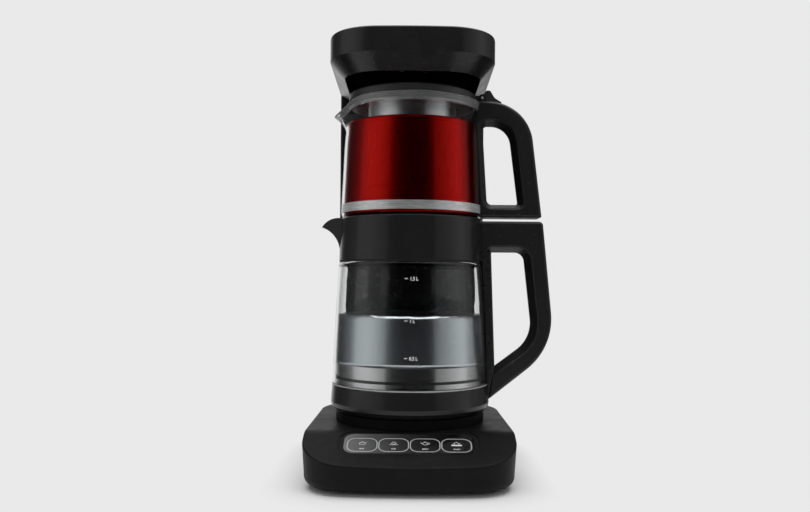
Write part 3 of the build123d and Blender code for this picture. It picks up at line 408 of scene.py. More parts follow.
# ---- mesh helpers ----
def new_piece(name, mesh, material, body, smooth=True):
    """Turns a bmesh into a piece that rides on a body; a print isn't smooth, because its edges are sharp."""
    data = bpy.data.meshes.new(name)
    bmesh.ops.recalc_face_normals(mesh, faces=mesh.faces)
    for face in mesh.faces:
        face.smooth = smooth
    mesh.to_mesh(data)
    mesh.free()
    data.materials.append(material)
    piece = bpy.data.objects.new(name, data)
    bpy.context.scene.collection.objects.link(piece)
    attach(piece, body)
    return piece


def skin_rings(mesh, rings):
    """Faces between successive rings of vertices; a ring of one vertex is a pole."""
    for low, high in zip(rings, rings[1:]):
        count = max(len(low), len(high))
        for index in range(count):
            after = (index + 1) % count
            corners = (low[index % len(low)], low[after % len(low)],
                       high[after % len(high)], high[index % len(high)])
            mesh.faces.new(list(dict.fromkeys(corners)))


def turned(points, segments=160, lift=None):
    """A body turned about AXIS from (radius, height) points; lift(x, y, height) may raise a point."""
    mesh = bmesh.new()
    rings = []
    for radius, height in points:
        count = 1 if radius < 1e-6 else segments
        ring = []
        for index in range(count):
            turn = math.tau * index / count
            x, y = radius * math.cos(turn), radius * math.sin(turn)
            rise = lift(x, y, height) if lift else 0
            ring.append(mesh.verts.new((AXIS.x + x, AXIS.y + y, height + rise)))
        rings.append(ring)
    skin_rings(mesh, rings)
    return mesh


def inner_radius(node, height):
    """Radius of a hollow node's inside at a height, measured on its solid."""
    found, place, _, _ = NODES[node].ray_cast(Vector((AXIS.x, AXIS.y, height)), Vector((-1, 0, 0)))
    if not found:
        raise ValueError(f"{node} has no inside at {height}")
    return AXIS.x - place.x


def outer_radius(node, height, turn):
    """Radius of a node's outside at a height, at a turn about AXIS from -Y."""
    outward = Vector((math.sin(turn), -math.cos(turn), 0))
    start = AXIS + outward + Vector((0, 0, height))
    found, place, _, _ = NODES[node].ray_cast(start, -outward)
    if not found:
        raise ValueError(f"{node} has no outside at {height}")
    return 1 - (place - start).length


def pan_floor():
    """Height of the top of the kettle's steel floor."""
    above = Vector((AXIS.x, AXIS.y, 0.2))
    found, place, _, _ = NODES["heater_pan"].ray_cast(above, Vector((0, 0, -1)))
    if not found:
        raise ValueError("the pan has no floor")
    return place.z


def levels(low, high, count):
    """Evenly spaced values from low to high, both included."""
    return [low + (high - low) * index / (count - 1) for index in range(count)]


def merge(mesh, other):
    """Adds another bmesh to this one and frees it."""
    data = bpy.data.meshes.new("merge")
    other.to_mesh(data)
    other.free()
    mesh.from_mesh(data)
    bpy.data.meshes.remove(data)


def lettering(name, words, size, align="LEFT"):
    """A mesh of upright lettering in the XY plane, its left end or middle at the origin."""
    curve = bpy.data.curves.new(name, "FONT")
    curve.body = words
    curve.size = size
    curve.align_x = align
    curve.extrude = FILM
    curve.offset = size * LETTER_WEIGHT
    sample = bpy.data.objects.new(name, curve)
    bpy.context.scene.collection.objects.link(sample)
    bpy.context.view_layer.update()
    data = bpy.data.meshes.new_from_object(sample)
    mesh = bmesh.new()
    mesh.from_mesh(data)
    bpy.data.objects.remove(sample)
    bpy.data.curves.remove(curve)
    bpy.data.meshes.remove(data)
    return mesh


def add_bar(mesh, x0, x1, y0, y1):
    """A thin rectangular print in the XY plane, from its sides in millimetres."""
    made = bmesh.ops.create_cube(mesh, size=1)["verts"]
    scale = Matrix.Diagonal(((x1 - x0) * MM, (y1 - y0) * MM, 2 * FILM, 1))
    middle = Matrix.Translation(((x0 + x1) / 2 * MM, (y0 + y1) / 2 * MM, 0))
    bmesh.ops.transform(mesh, verts=made, matrix=middle @ scale)


def add_stroke(mesh, points, closed=False):
    """A printed line along points in the XY plane, in millimetres, with mitred corners."""
    points = [Vector((x * MM, y * MM, 0)) for x, y in points]
    count = len(points)
    rows = []
    for index, point in enumerate(points):
        before = points[index - 1] if index or closed else point
        after = points[(index + 1) % count] if index < count - 1 or closed else point
        along = ((after - point).normalized() + (point - before).normalized()).normalized()
        across = Vector((-along.y, along.x, 0)) * LINE_WIDTH / 2
        rows.append([mesh.verts.new(point + across * side + Vector((0, 0, top * FILM)))
                     for side, top in ((1, 1), (-1, 1), (-1, -1), (1, -1))])
    pairs = list(zip(rows, rows[1:] + rows[:1])) if closed else list(zip(rows, rows[1:]))
    for low, high in pairs:
        for side in range(4):
            mesh.faces.new((low[side], low[(side + 1) % 4], high[(side + 1) % 4], high[side]))
    if not closed:
        mesh.faces.new(rows[0])
        mesh.faces.new(rows[-1])


def arc(x, y, radius, start, end, count=14):
    """Points on an arc, with its angles in degrees."""
    turns = [math.radians(turn) for turn in levels(start, end, count)]
    return [(x + radius * math.cos(turn), y + radius * math.sin(turn)) for turn in turns]


# ---- pieces ----
class TEAMAKER_OT_casing(bpy.types.Operator):
    """Finish the base, column and head"""

    bl_idname = "teamaker.casing"
    bl_label = "Casing"

    def execute(self, context):
        finishes = context.scene.tea_maker_finishes
        casing = moulded_casing(finishes.casing, "casing_plastic", 0.22, 0.3, Specular_IOR_Level=0.42)
        paint(casing, "column_front_cover", "column_rear_cover", "head_shell", "head_top_cover")
        base = moulded_casing(finishes.base, "base_plastic", 0.42, 0.52, Specular_IOR_Level=0.14)
        paint(base, "base_tray", "base_cover")
        # the head's recess and nozzle are painted near black as shade; the plinth is black, with painted
        # shadow
        paint(painted_shade_black("recess_painted_shade"), "head_ceiling", "outlet_nozzle")
        paint(painted_shade_black("plinth_black_and_painted_shadow", 0.5), "plinth")
        paint(soft_rubber((0.016, 0.016, 0.017), "foot_rubber"), "feet", "cord_gland")
        return {"FINISHED"}


class TEAMAKER_OT_panel(bpy.types.Operator):
    """Finish the key panel and print the pictogram and word on each key"""

    bl_idname = "teamaker.panel"
    bl_label = "Key panel"

    ICON_RISE = 1.2 * MM                 # of the pictogram, over the middle of its key
    WORD_DROP = 7.0 * MM                 # of the word, under the middle of its key
    WORD_SIZE = 2.0 * MM

    def execute(self, context):
        finishes = context.scene.tea_maker_finishes
        low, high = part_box("panel_fascia")
        # the fascia and the keys carry a painted reflection that fades from grey at the left to black
        gloss = panel_painted_reflection("panel_painted_reflection", low.x, high.x)
        paint(gloss, "panel_fascia", *KEYS)
        paint(light_guide(finishes.marking), "key_rings")
        ink = white_print(finishes.marking)
        ring_low, ring_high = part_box("key_rings")
        middle = (ring_low + ring_high) / 2
        for key, word, draw in zip(KEYS, KEY_WORDS, (draw_kettle, draw_cup, draw_teapot, draw_start)):
            mesh = bmesh.new()
            draw(mesh)
            bmesh.ops.translate(mesh, verts=mesh.verts, vec=(0, self.ICON_RISE, 0))
            words = lettering(key + "_word", word, self.WORD_SIZE, "CENTER")
            bmesh.ops.translate(words, verts=words.verts, vec=(0, -self.WORD_DROP, 0))
            merge(mesh, words)
            key_low, key_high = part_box(key)
            above = Vector(((key_low.x + key_high.x) / 2, middle.y, middle.z)) + PANEL_OUT * 20 * MM
            found, face, _, _ = NODES[key].ray_cast(above, -PANEL_OUT)
            if not found:
                raise ValueError(f"no face found on {key}")
            set_up = Matrix((Vector((1, 0, 0)), PANEL_UP, PANEL_OUT)).transposed().to_4x4()
            set_up.translation = face
            bmesh.ops.transform(mesh, matrix=set_up, verts=mesh.verts)
            new_piece(key + "_mark", mesh, ink, key + "_body", smooth=False)
        return {"FINISHED"}


def draw_kettle(mesh):
    """Domed kettle with its spout and a lid knob."""
    add_stroke(mesh, [(-2.6, 0.2), *arc(0, 0.2, 2.6, 180, 0), (2.6, 0.2)])
    add_stroke(mesh, [(-2.9, -0.6), (2.4, -0.6)])
    add_stroke(mesh, [(2.3, 1.6), (3.6, 2.5)])
    add_stroke(mesh, [(-0.5, 3.6), (0.5, 3.6)])


def draw_cup(mesh):
    """Cup on a saucer with steam over it."""
    add_stroke(mesh, arc(0, 1.6, 2.2, 180, 360))
    add_stroke(mesh, [(-2.3, 1.7), (2.3, 1.7)])
    add_stroke(mesh, [(-3.9, -0.5), (-2.6, -1.0), (2.6, -1.0), (3.9, -0.5)])
    for x in (-0.8, 0.8):
        add_stroke(mesh, [(x, 2.5), (x + 0.35, 3.2), (x, 3.9)])


def draw_teapot(mesh):
    """Round teapot with its spout, handle and knob."""
    add_stroke(mesh, arc(0, 1.1, 2.1, 0, 342, 22), closed=True)
    add_stroke(mesh, [(-2.0, 0.6), (-3.2, 1.6), (-3.6, 2.8)])
    add_stroke(mesh, arc(2.6, 1.2, 1.2, -100, 100))
    add_stroke(mesh, [(-0.5, 3.8), (0.5, 3.8)])


def draw_start(mesh):
    """Teapot standing on a solid base."""
    add_stroke(mesh, [(-1.9, 0.2), (-1.4, 3.0), (1.4, 3.0), (1.9, 0.2)])
    add_stroke(mesh, [(-0.5, 3.8), (0.5, 3.8)])
    add_stroke(mesh, [(-2.0, 1.4), (-3.0, 2.2)])
    add_stroke(mesh, [(2.0, 0.9), (2.9, 1.2), (2.6, 2.4)])
    add_bar(mesh, -4.4, 4.4, -2.2, -0.2)


class TEAMAKER_OT_works(bpy.types.Operator):
    """Finish the pump, hoses, boards and the other hidden parts"""

    bl_idname = "teamaker.works"
    bl_label = "Works"

    def execute(self, context):
        steel = context.scene.tea_maker_finishes.steel
        paint(inner_moulding(), "dock_socket", "pump_housing", "pump_rotor", "outlet_body", "outlet_poppet",
              "key_switches", "thermostat", "kettle_bottom_cover")
        paint(cloudy_silicone(), "inlet_hose", "riser_hose", "dock_o_ring", "nozzle_gasket", "glass_seat")
        paint(circuit_board(), "control_board", "power_board", "wireless_board", "power_parts")
        paint(contact_brass(), "dock_contacts", "kettle_contacts")
        paint(cast_aluminium(), "heater_element")
        sheet = brushed_steel(steel, "sheet_steel", 0.34, (60, 3, 3))
        paint(sheet, "column_frame", "pump_motor", "outlet_spring", "case_screws")
        return {"FINISHED"}


class TEAMAKER_OT_kettle(bpy.types.Operator):
    """Finish the kettle's glass, collar, ring, pan and handle"""

    bl_idname = "teamaker.kettle"
    bl_label = "Kettle"

    def execute(self, context):
        finishes = context.scene.tea_maker_finishes
        paint(gloss_trim(finishes.gloss), "kettle_collar", "kettle_ring")
        paint(clear_glass("kettle_clear_glass", 1.33), "kettle_glass")
        steel = brushed_steel(finishes.steel, "pan_steel", 0.18)
        paint(steel, "heater_pan", "kettle_handle_screws")
        paint(soft_rubber((0.02, 0.02, 0.021), "seal_rubber"), "pan_gasket", "collar_gasket")
        paint(handle_grip(finishes.handle), "kettle_handle")
        paint(handle_grip(shade(finishes.handle, 1.4), "handle_strip_plastic", 0.3), "kettle_handle_strip")
        return {"FINISHED"}


class TEAMAKER_OT_water(bpy.types.Operator):
    """Fill the kettle with simmering water and its bubbles"""

    bl_idname = "teamaker.water"
    bl_label = "Water"

    SHEEN = (0.78, 0.84, 0.88)           # colour of the light that the water throws back
    BUBBLE_SIZES = (0.25, 0.3, 0.35, 0.45, 0.6, 0.9)
    NEAR_SURFACE = 0.35                  # share of the bubbles that are just under the surface

    def execute(self, context):
        liquids = context.scene.tea_maker_liquids
        floor = pan_floor() + FILM
        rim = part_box("heater_pan")[1].z
        level = liquids.water_level
        pan_inside = inner_radius("heater_pan", rim - MM) - 2 * FILM
        wall = [(inner_radius("kettle_glass", height) - 3 * FILM, height)
                for height in levels(rim + FILM, level, 12)]
        edge, top = wall[-1]
        across = [(edge * part, top) for part in levels(0.97, 0.03, 30)]
        surface = [(edge - 0.5 * MM, top), *across, (0, top)]

        def ripple(x, y, height):
            if height < top - 1e-7:
                return 0
            swell = noise.noise(Vector((x, y, 0.3)) * 55) + 0.6 * noise.noise(Vector((x, y, 1.7)) * 170)
            return liquids.ripple * swell

        foot = [(0, floor), (pan_inside, floor), (pan_inside, rim + FILM)]
        body = turned([*foot, *wall, *surface], lift=ripple)
        material, tree, shader = liquid("water", self.SHEEN, 1.2, 0.75, 0.25)
        relief(tree, shader, grain(tree, own_place(tree, (1, 1, 0.25)), 0.016, 2), 0.0008, 0.18)
        new_piece("water", body, material, "kettle")
        self.make_bubbles(liquids.bubbles, floor, level)
        return {"FINISHED"}

    def make_bubbles(self, count, floor, level):
        """Small bubbles that cling to the glass and crowd near the surface."""
        chance = random.Random(11)
        mesh = bmesh.new()
        for _ in range(count):
            turn = chance.uniform(0, math.tau)
            if chance.random() < self.NEAR_SURFACE:
                height = level - chance.uniform(1.2, 5) * MM
            else:
                height = chance.uniform(floor + 20 * MM, level - 6 * MM)
            size = chance.choice(self.BUBBLE_SIZES) * MM
            away = inner_radius("kettle_glass", max(height, 100 * MM)) - FILM / 2 - size
            place = Vector((AXIS.x + away * math.cos(turn), AXIS.y + away * math.sin(turn), height))
            bmesh.ops.create_icosphere(mesh, subdivisions=2, radius=size, matrix=Matrix.Translation(place))
        color = (0.9, 0.93, 0.94)
        material, tree, shader = new_finish("bubble", color, 0.05, Transmission_Weight=0.75, IOR=1.2)
        mottle(tree, shader, color, 0.001, 0.05)
        new_piece("water_bubbles", mesh, material, "kettle")


class TEAMAKER_OT_level_marks(bpy.types.Operator):
    """Print the level marks on the kettle's glass"""

    bl_idname = "teamaker.level_marks"
    bl_label = "Level marks"

    MARKS = (("mark_half_litre", "0.5 L", 0.1084), ("mark_one_litre", "1 L", 0.1409),
             ("mark_litre_and_half", "1.5 L", 0.1778))
    LETTER_SIZE = 4.4 * MM
    LETTER_WIDTH = 0.84                  # share of the letters' own width

    def execute(self, context):
        ink = white_print(context.scene.tea_maker_finishes.marking)
        for name, words, height in self.MARKS:
            mesh = lettering(name, words, self.LETTER_SIZE)
            bmesh.ops.scale(mesh, verts=mesh.verts, vec=(self.LETTER_WIDTH, 1, 1))
            bmesh.ops.translate(mesh, verts=mesh.verts, vec=(-0.9 * MM, -1.6 * MM, 0))
            add_bar(mesh, -5.3, -2.6, -0.35, 0.35)
            radius = outer_radius("kettle_glass", height, 0)
            for vertex in mesh.verts:
                x, y, z = vertex.co
                turn = x / radius
                reach = outer_radius("kettle_glass", height + y, turn) + z + 2 * FILM
                vertex.co = (AXIS.x + reach * math.sin(turn), AXIS.y - reach * math.cos(turn), height + y)
            new_piece(name, mesh, ink, "kettle", smooth=False)
        return {"FINISHED"}


# ---- teapot, with its glass in millimetres ----
POT_SIDE = [(64.4, 242), (64.0, 252), (62.9, 276), (61.6, 304), (60.1, 325), (61.0, 336), (63.0, 344)]
POT_CORNER = 5.0                         # radius of the corner at the foot
POT_SEGMENTS = 192
# the milky uppermost rings of the lip and spout are a painted highlight
LIP_RINGS, SPOUT_RINGS = 5, 9            # the glass is milky over this many of its uppermost rings
SPOUT_REACH, SPOUT_DROP = 10.3, 11.2     # of the spout's tip, outwards and down
SPOUT_ROOT = 316.0                       # height at which the spout starts
SPOUT_HALF, DROP_HALF = 23, 44           # degrees to either side over which it reaches out and drops
SPOUT_BLUNT = 0.035                      # rounds the spout's tip, in radians
SPOUT_SKIN = 65.5                        # beyond this radius the lip belongs to the spout


def side_radius(height):
    """Radius of the pot's side at a height in millimetres, by a smooth curve through POT_SIDE."""
    points = [(64.6, 232), *POT_SIDE, (65.8, 352)]
    for index in range(1, len(points) - 2):
        if height <= points[index + 1][1] or index == len(points) - 3:
            break
    (r0, z0), (r1, z1), (r2, z2), (r3, z3) = points[index - 1:index + 3]
    part = (height - z1) / (z2 - z1)
    start, end = (r2 - r0) / (z2 - z0) * (z2 - z1), (r3 - r1) / (z3 - z1) * (z2 - z1)
    square, cube = part**2, part**3
    return ((2 * cube - 3 * square + 1) * r1 + (cube - 2 * square + part) * start
            + (3 * square - 2 * cube) * r2 + (cube - square) * end)


def pot_point(turn, height, low):
    """Point of the pot's outside at a turn about AXIS, with the spout drawn out towards -X."""
    off = abs(turn % math.tau - math.pi)
    off = math.degrees(math.hypot(off, SPOUT_BLUNT) - SPOUT_BLUNT)
    reach = max(0.0, 1 - off / SPOUT_HALF) ** 1.7
    drop = max(0.0, 1 - off / DROP_HALF) ** 1.4
    top = POT_SIDE[-1][1]
    radius = side_radius(height)
    if height > SPOUT_ROOT:
        rise = (height - SPOUT_ROOT) / (top - SPOUT_ROOT)
        radius += SPOUT_REACH * reach * rise**1.5
        height -= SPOUT_DROP * drop * rise
    corner = low + POT_CORNER
    if height < corner:
        depth = (corner - height) / POT_CORNER
        radius -= POT_CORNER * (1 - math.sqrt(max(0.0, 1 - depth**2)))
    return (AXIS.x + radius * MM * math.cos(turn), AXIS.y + radius * MM * math.sin(turn), height * MM)


class TEAMAKER_OT_teapot(bpy.types.Operator):
    """Blow the teapot's glass and finish its band, strainer, lid and handle"""

    bl_idname = "teamaker.teapot"
    bl_label = "Teapot"

    def execute(self, context):
        finishes = context.scene.tea_maker_finishes
        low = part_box("teapot_glass")[0].z / MM
        mesh = bmesh.new()
        turns = [math.tau * index / POT_SEGMENTS for index in range(POT_SEGMENTS)]
        heights = [low, *(low + POT_CORNER * part for part in (0.03, 0.12, 0.28, 0.5, 0.75, 1)), 242.5]
        heights += levels(247, 312, 14) + levels(SPOUT_ROOT, POT_SIDE[-1][1], 15)
        rings = [[mesh.verts.new((AXIS.x, AXIS.y, low * MM))]]
        flat = pot_point(0, low, low)[0] - AXIS.x
        for part in (0.3, 0.6, 0.9):
            away = flat * part
            rings.append([mesh.verts.new((AXIS.x + away * math.cos(turn), AXIS.y + away * math.sin(turn),
                                          low * MM)) for turn in turns])
        for height in heights:
            rings.append([mesh.verts.new(pot_point(turn, height, low)) for turn in turns])
        skin_rings(mesh, rings)
        lip = {vertex for ring in rings[-LIP_RINGS:] for vertex in ring}
        spout = {vertex for ring in rings[-SPOUT_RINGS:] for vertex in ring
                 if vertex.co.x < AXIS.x - SPOUT_SKIN * MM}
        for face in mesh.faces:
            if lip.issuperset(face.verts) or spout.issuperset(face.verts):
                face.material_index = 1
        clear = clear_glass("teapot_clear_glass", 1.13)
        glass = new_piece("teapot_blown_glass", mesh, clear, "teapot")
        # the lip and the spout's rim take the milky material, a painted highlight
        glass.data.materials.append(pale_rim_painted_highlight())
        wall = glass.modifiers.new("wall", "SOLIDIFY")
        wall.thickness = POT_WALL
        wall.offset = -1
        rim = glass.modifiers.new("rim", "BEVEL")
        rim.width = 0.9 * MM
        rim.segments = 3
        rim.limit_method = "ANGLE"
        rim.angle_limit = math.radians(50)
        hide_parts("teapot_glass")

        # the band is steel; its paler, less metallic colour is a painted reflection of light from the front
        band = brushed_steel(shade(finishes.steel, 1.42), "band_steel_painted_reflection", 0.25, metal=0.3)
        paint(band, "teapot_band", "band_bolt", "hinge_pin")
        paint(brushed_steel(shade(finishes.steel, 1.1), "strainer_steel", 0.32), "strainer")
        paint(handle_grip(finishes.handle, "teapot_handle_plastic"), "teapot_handle")
        paint(moulded_casing(shade(finishes.casing, 2.2), "lid_plastic", 0.3, 0.4), "lid_disc")
        paint(soft_rubber((0.004, 0.004, 0.0041), "lid_seal"), "lid_gasket")
        return {"FINISHED"}


class TEAMAKER_OT_tea(bpy.types.Operator):
    """Fill the teapot with tea"""

    bl_idname = "teamaker.tea"
    bl_label = "Tea"

    SHEEN = (0.80, 0.004, 0.001)         # colour of the light that the tea throws back

    def execute(self, context):
        liquids = context.scene.tea_maker_liquids
        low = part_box("teapot_glass")[0].z
        floor = low + TEA_SKIN
        level = liquids.tea_level
        corner = POT_CORNER * MM - TEA_SKIN
        foot = [(side_radius((floor + corner) / MM) * MM - TEA_SKIN - corner * (1 - math.sin(turn)),
                 floor + corner * (1 - math.cos(turn))) for turn in levels(0, math.pi / 2, 6)]
        wall = [(side_radius(height / MM) * MM - TEA_SKIN, height)
                for height in levels(low + 8 * MM, level - 1.2 * MM, 24)]
        edge = wall[-1][0]
        creep = [(edge, level + 0.5 * MM), (edge - 0.5 * MM, level + 0.15 * MM), (edge - 1.6 * MM, level)]
        surface = [(edge * part, level) for part in (0.9, 0.6, 0.3)] + [(0, level)]
        points = [(0, floor), (foot[0][0] * 0.5, floor), *foot, *wall, *creep, *surface]
        mesh = turned(points, POT_SEGMENTS)
        material, tree, shader = liquid("tea", self.SHEEN, 1.04, 0.60, 0.25)
        absorb = tree.nodes.new("ShaderNodeVolumeAbsorption")
        absorb.inputs["Color"].default_value = (*liquids.tea, 1)
        absorb.inputs["Density"].default_value = liquids.tea_strength
        output = tree.nodes["Material Output"]
        tree.links.new(absorb.outputs["Volume"], output.inputs["Volume"])
        relief(tree, shader, grain(tree, own_place(tree), 0.03, 1), 0.0003, 0.1)
        new_piece("tea", mesh, material, "teapot")
        return {"FINISHED"}


# ---- stage ----
FLOOR_RADIUS = 0.32
FLOOR_INSET = 0.04                       # distances on the floor start this far inside the base's outline
FADE_START, FADE_END = -0.002, 0.038     # past that outline, where the paper turns into the backdrop
# Brightness of the room by the angle from its front, which lies ROOM_FRONT to the right of the camera
ROOM_FRONT = math.radians(8)
ROOM = ((0, 0.001), (26, 0.002), (40, 0.05), (50, 0.13), (60, 0.26), (76, 0.42), (92, 0.36), (104, 0.24),
        (116, 0.13), (130, 0.06), (144, 0.05), (152, 0.24))
ROOM_BEHIND = 164                        # from this angle on it is the backdrop


def make_floor(backdrop):
    """Pale floor that takes the shadow near the object and turns into the backdrop further out."""
    mesh = bmesh.new()
    bmesh.ops.create_circle(mesh, cap_ends=True, radius=FLOOR_RADIUS, segments=128)
    data = bpy.data.meshes.new("floor")
    mesh.to_mesh(data)
    mesh.free()
    floor = bpy.data.objects.new("floor", data)
    floor.location.z = -0.2 * MM
    bpy.context.scene.collection.objects.link(floor)
    material = bpy.data.materials.new("pale_floor")
    material.use_nodes = True
    tree = material.node_tree
    tree.nodes.clear()
    paper = tree.nodes.new("ShaderNodeBsdfDiffuse")
    paper.inputs["Color"].default_value = (0.86, 0.86, 0.87, 1)
    glow = tree.nodes.new("ShaderNodeEmission")
    glow.inputs["Color"].default_value = (backdrop, backdrop, backdrop, 1)
    away = spread(tree, beyond_base(tree), 0, 1, FLOOR_INSET + FADE_START, FLOOR_INSET + FADE_END)
    seen = seen_rays(tree)
    share = tree.nodes.new("ShaderNodeMath")
    share.operation = "MULTIPLY"
    tree.links.new(away, share.inputs[0])
    tree.links.new(seen, share.inputs[1])
    mix = tree.nodes.new("ShaderNodeMixShader")
    tree.links.new(share.outputs[0], mix.inputs["Fac"])
    tree.links.new(paper.outputs[0], mix.inputs[1])
    tree.links.new(glow.outputs[0], mix.inputs[2])
    output = tree.nodes.new("ShaderNodeOutputMaterial")
    tree.links.new(mix.outputs[0], output.inputs["Surface"])
    data.materials.append(material)


def beyond_base(tree):
    """Distance on the floor from a rectangle that lies FLOOR_INSET inside the outline of the base."""
    low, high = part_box("base_tray")
    steps = {
        "ABSOLUTE": None,
        "SUBTRACT": ((high.x - low.x) / 2 - FLOOR_INSET, (high.y - low.y) / 2 - FLOOR_INSET, 1),
        "MAXIMUM": (0, 0, 0),
        "LENGTH": None,
    }
    shift = tree.nodes.new("ShaderNodeVectorMath")
    shift.operation = "SUBTRACT"
    shift.inputs[1].default_value = (low + high) / 2
    tree.links.new(own_place(tree), shift.inputs[0])
    value = shift.outputs["Vector"]
    for operation, number in steps.items():
        node = tree.nodes.new("ShaderNodeVectorMath")
        node.operation = operation
        tree.links.new(value, node.inputs[0])
        if number:
            node.inputs[1].default_value = number
        value = node.outputs["Value" if operation == "LENGTH" else "Vector"]
    return value


def seen_rays(tree):
    """1 for rays that come from the camera straight or through glass, with no reflection on the way."""
    path = tree.nodes.new("ShaderNodeLightPath")
    bounces = tree.nodes.new("ShaderNodeMath")
    bounces.operation = "ADD"
    tree.links.new(path.outputs["Glossy Depth"], bounces.inputs[0])
    tree.links.new(path.outputs["Diffuse Depth"], bounces.inputs[1])
    straight = tree.nodes.new("ShaderNodeMath")
    straight.operation = "LESS_THAN"
    straight.inputs[1].default_value = 0.5
    tree.links.new(bounces.outputs[0], straight.inputs[0])
    through = tree.nodes.new("ShaderNodeMath")
    through.operation = "MULTIPLY_ADD"
    tree.links.new(path.outputs["Is Transmission Ray"], through.inputs[0])
    tree.links.new(straight.outputs[0], through.inputs[1])
    tree.links.new(path.outputs["Is Camera Ray"], through.inputs[2])
    return through.outputs[0]


def room_light(tree, backdrop):
    """Walls that are dark behind the camera, glow softly at both sides and are the backdrop behind."""
    coordinates = tree.nodes.new("ShaderNodeTexCoord")
    level = tree.nodes.new("ShaderNodeVectorMath")
    level.operation = "MULTIPLY"
    level.inputs[1].default_value = (1, 1, 0)
    tree.links.new(coordinates.outputs["Generated"], level.inputs[0])
    flat = tree.nodes.new("ShaderNodeVectorMath")
    flat.operation = "NORMALIZE"
    tree.links.new(level.outputs["Vector"], flat.inputs[0])
    behind = tree.nodes.new("ShaderNodeVectorMath")
    behind.operation = "DOT_PRODUCT"
    behind.inputs[1].default_value = (-math.sin(ROOM_FRONT), math.cos(ROOM_FRONT), 0)
    tree.links.new(flat.outputs["Vector"], behind.inputs[0])
    along = spread(tree, behind.outputs["Value"], 0, 1, -1, 1)
    stops = [((1 - math.cos(math.radians(angle))) / 2, (grey,) * 3)
             for angle, grey in (*ROOM, (ROOM_BEHIND, backdrop))]
    walls = ramp(tree, along, *stops)
    parts = tree.nodes.new("ShaderNodeSeparateXYZ")
    tree.links.new(coordinates.outputs["Generated"], parts.inputs["Vector"])
    low = spread(tree, parts.outputs["Z"], 0.1, 1, -0.6, -0.3)
    high = spread(tree, parts.outputs["Z"], 1, 0, 0.5, 0.85)
    for edge in (low, high):
        fade = tree.nodes.new("ShaderNodeVectorMath")
        fade.operation = "SCALE"
        tree.links.new(walls, fade.inputs[0])
        tree.links.new(edge, fade.inputs["Scale"])
        walls = fade.outputs["Vector"]
    return walls


def make_world(backdrop):
    """Even backdrop for the camera, and the room for what the gloss shows."""
    world = bpy.data.worlds.new("studio")
    bpy.context.scene.world = world
    world.use_nodes = True
    tree = world.node_tree
    tree.nodes.clear()
    room = room_light(tree, backdrop)
    level = tree.nodes.new("ShaderNodeMix")
    level.data_type = "FLOAT"
    tree.links.new(seen_rays(tree), level.inputs["Factor"])
    tree.links.new(room, level.inputs["A"])
    level.inputs["B"].default_value = backdrop
    glow = tree.nodes.new("ShaderNodeBackground")
    tree.links.new(level.outputs["Result"], glow.inputs["Color"])
    output = tree.nodes.new("ShaderNodeOutputWorld")
    tree.links.new(glow.outputs[0], output.inputs["Surface"])


def softbox(name, place, target, width, height, brightness):
    """An area lamp whose face has that brightness."""
    data = bpy.data.lights.new(name, "AREA")
    data.shape = "RECTANGLE"
    data.size, data.size_y = width, height
    data.energy = brightness * math.pi * width * height
    lamp = bpy.data.objects.new(name, data)
    lamp.location = place
    lamp.rotation_euler = (Vector(target) - Vector(place)).to_track_quat("-Z", "Y").to_euler()
    bpy.context.scene.collection.objects.link(lamp)
    return lamp


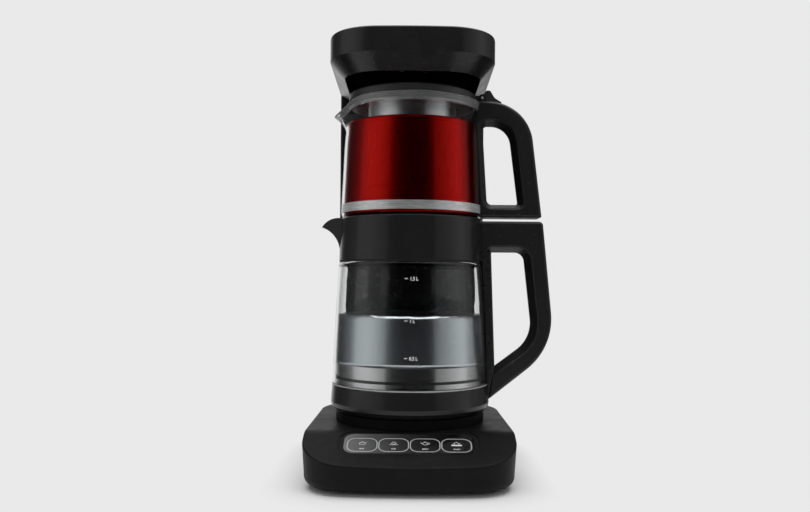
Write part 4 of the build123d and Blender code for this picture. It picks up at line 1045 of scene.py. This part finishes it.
class TEAMAKER_OT_stage(bpy.types.Operator):
    """Set the floor, the lamps and the camera"""

    bl_idname = "teamaker.stage"
    bl_label = "Stage"

    SHIFT = (-0.0072, 0.0309)            # where the lens's line stands in the picture

    def execute(self, context):
        studio = context.scene.tea_maker_studio
        make_floor(studio.backdrop)
        make_world(studio.backdrop)
        for name, side in (("softbox_left", -1), ("softbox_right", 1)):
            softbox(name, (1.1 * side, -0.70, 0.45), (0, -0.70, 0.45), 1.5, 1.5, studio.softboxes)
        softbox("softbox_overhead", (0, -0.1, 1.7), (0, -0.1, 0), 2.2, 2.0, studio.overhead)
        fill = softbox("fill", (0, -1.5, 0.6), (0, 0, 0.25), 1.5, 1.2, studio.fill)
        fill.visible_glossy = fill.visible_transmission = False
        data = bpy.data.cameras.new("camera")
        data.lens = studio.lens
        data.shift_x, data.shift_y = self.SHIFT
        camera = bpy.data.objects.new("camera", data)
        camera.location = (AXIS.x, AXIS.y - studio.camera_distance, studio.camera_height)
        camera.rotation_euler = (math.radians(90), studio.roll, 0)
        context.scene.collection.objects.link(camera)
        context.scene.camera = camera
        context.scene.view_settings.view_transform = "Standard"
        return {"FINISHED"}


class TEAMAKER_PT_sidebar(bpy.types.Panel):
    """Lists the pieces of the tea maker"""

    bl_label = "Tea maker"
    bl_idname = "TEAMAKER_PT_sidebar"
    bl_space_type = "VIEW_3D"
    bl_region_type = "UI"
    bl_category = "Tea maker"

    def draw(self, context):
        for group in SETTINGS:
            settings = getattr(context.scene, group)
            box = self.layout.box()
            for name in settings.__annotations__:
                box.prop(settings, name)
        for operator in OPERATORS:
            self.layout.operator(operator.bl_idname)


OPERATORS = (
    TEAMAKER_OT_casing, TEAMAKER_OT_panel, TEAMAKER_OT_works, TEAMAKER_OT_kettle, TEAMAKER_OT_water,
    TEAMAKER_OT_level_marks, TEAMAKER_OT_teapot, TEAMAKER_OT_tea, TEAMAKER_OT_stage,
)
SETTINGS = {
    "tea_maker_finishes": TeaMakerFinishes,
    "tea_maker_liquids": TeaMakerLiquids,
    "tea_maker_studio": TeaMakerStudio,
}
CLASSES = (*SETTINGS.values(), *OPERATORS, TEAMAKER_PT_sidebar)


def register():
    for item in CLASSES:
        bpy.utils.register_class(item)
    for name, group in SETTINGS.items():
        setattr(bpy.types.Scene, name, bpy.props.PointerProperty(type=group))


def unregister():
    for name in SETTINGS:
        delattr(bpy.types.Scene, name)
    for item in reversed(CLASSES):
        bpy.utils.unregister_class(item)


def main():
    register()
    bpy.ops.teamaker.casing()
    bpy.ops.teamaker.panel()
    bpy.ops.teamaker.works()
    bpy.ops.teamaker.kettle()
    bpy.ops.teamaker.water()
    bpy.ops.teamaker.level_marks()
    bpy.ops.teamaker.teapot()
    bpy.ops.teamaker.tea()
    bpy.ops.teamaker.stage()


if __name__ == "__main__":
    main()
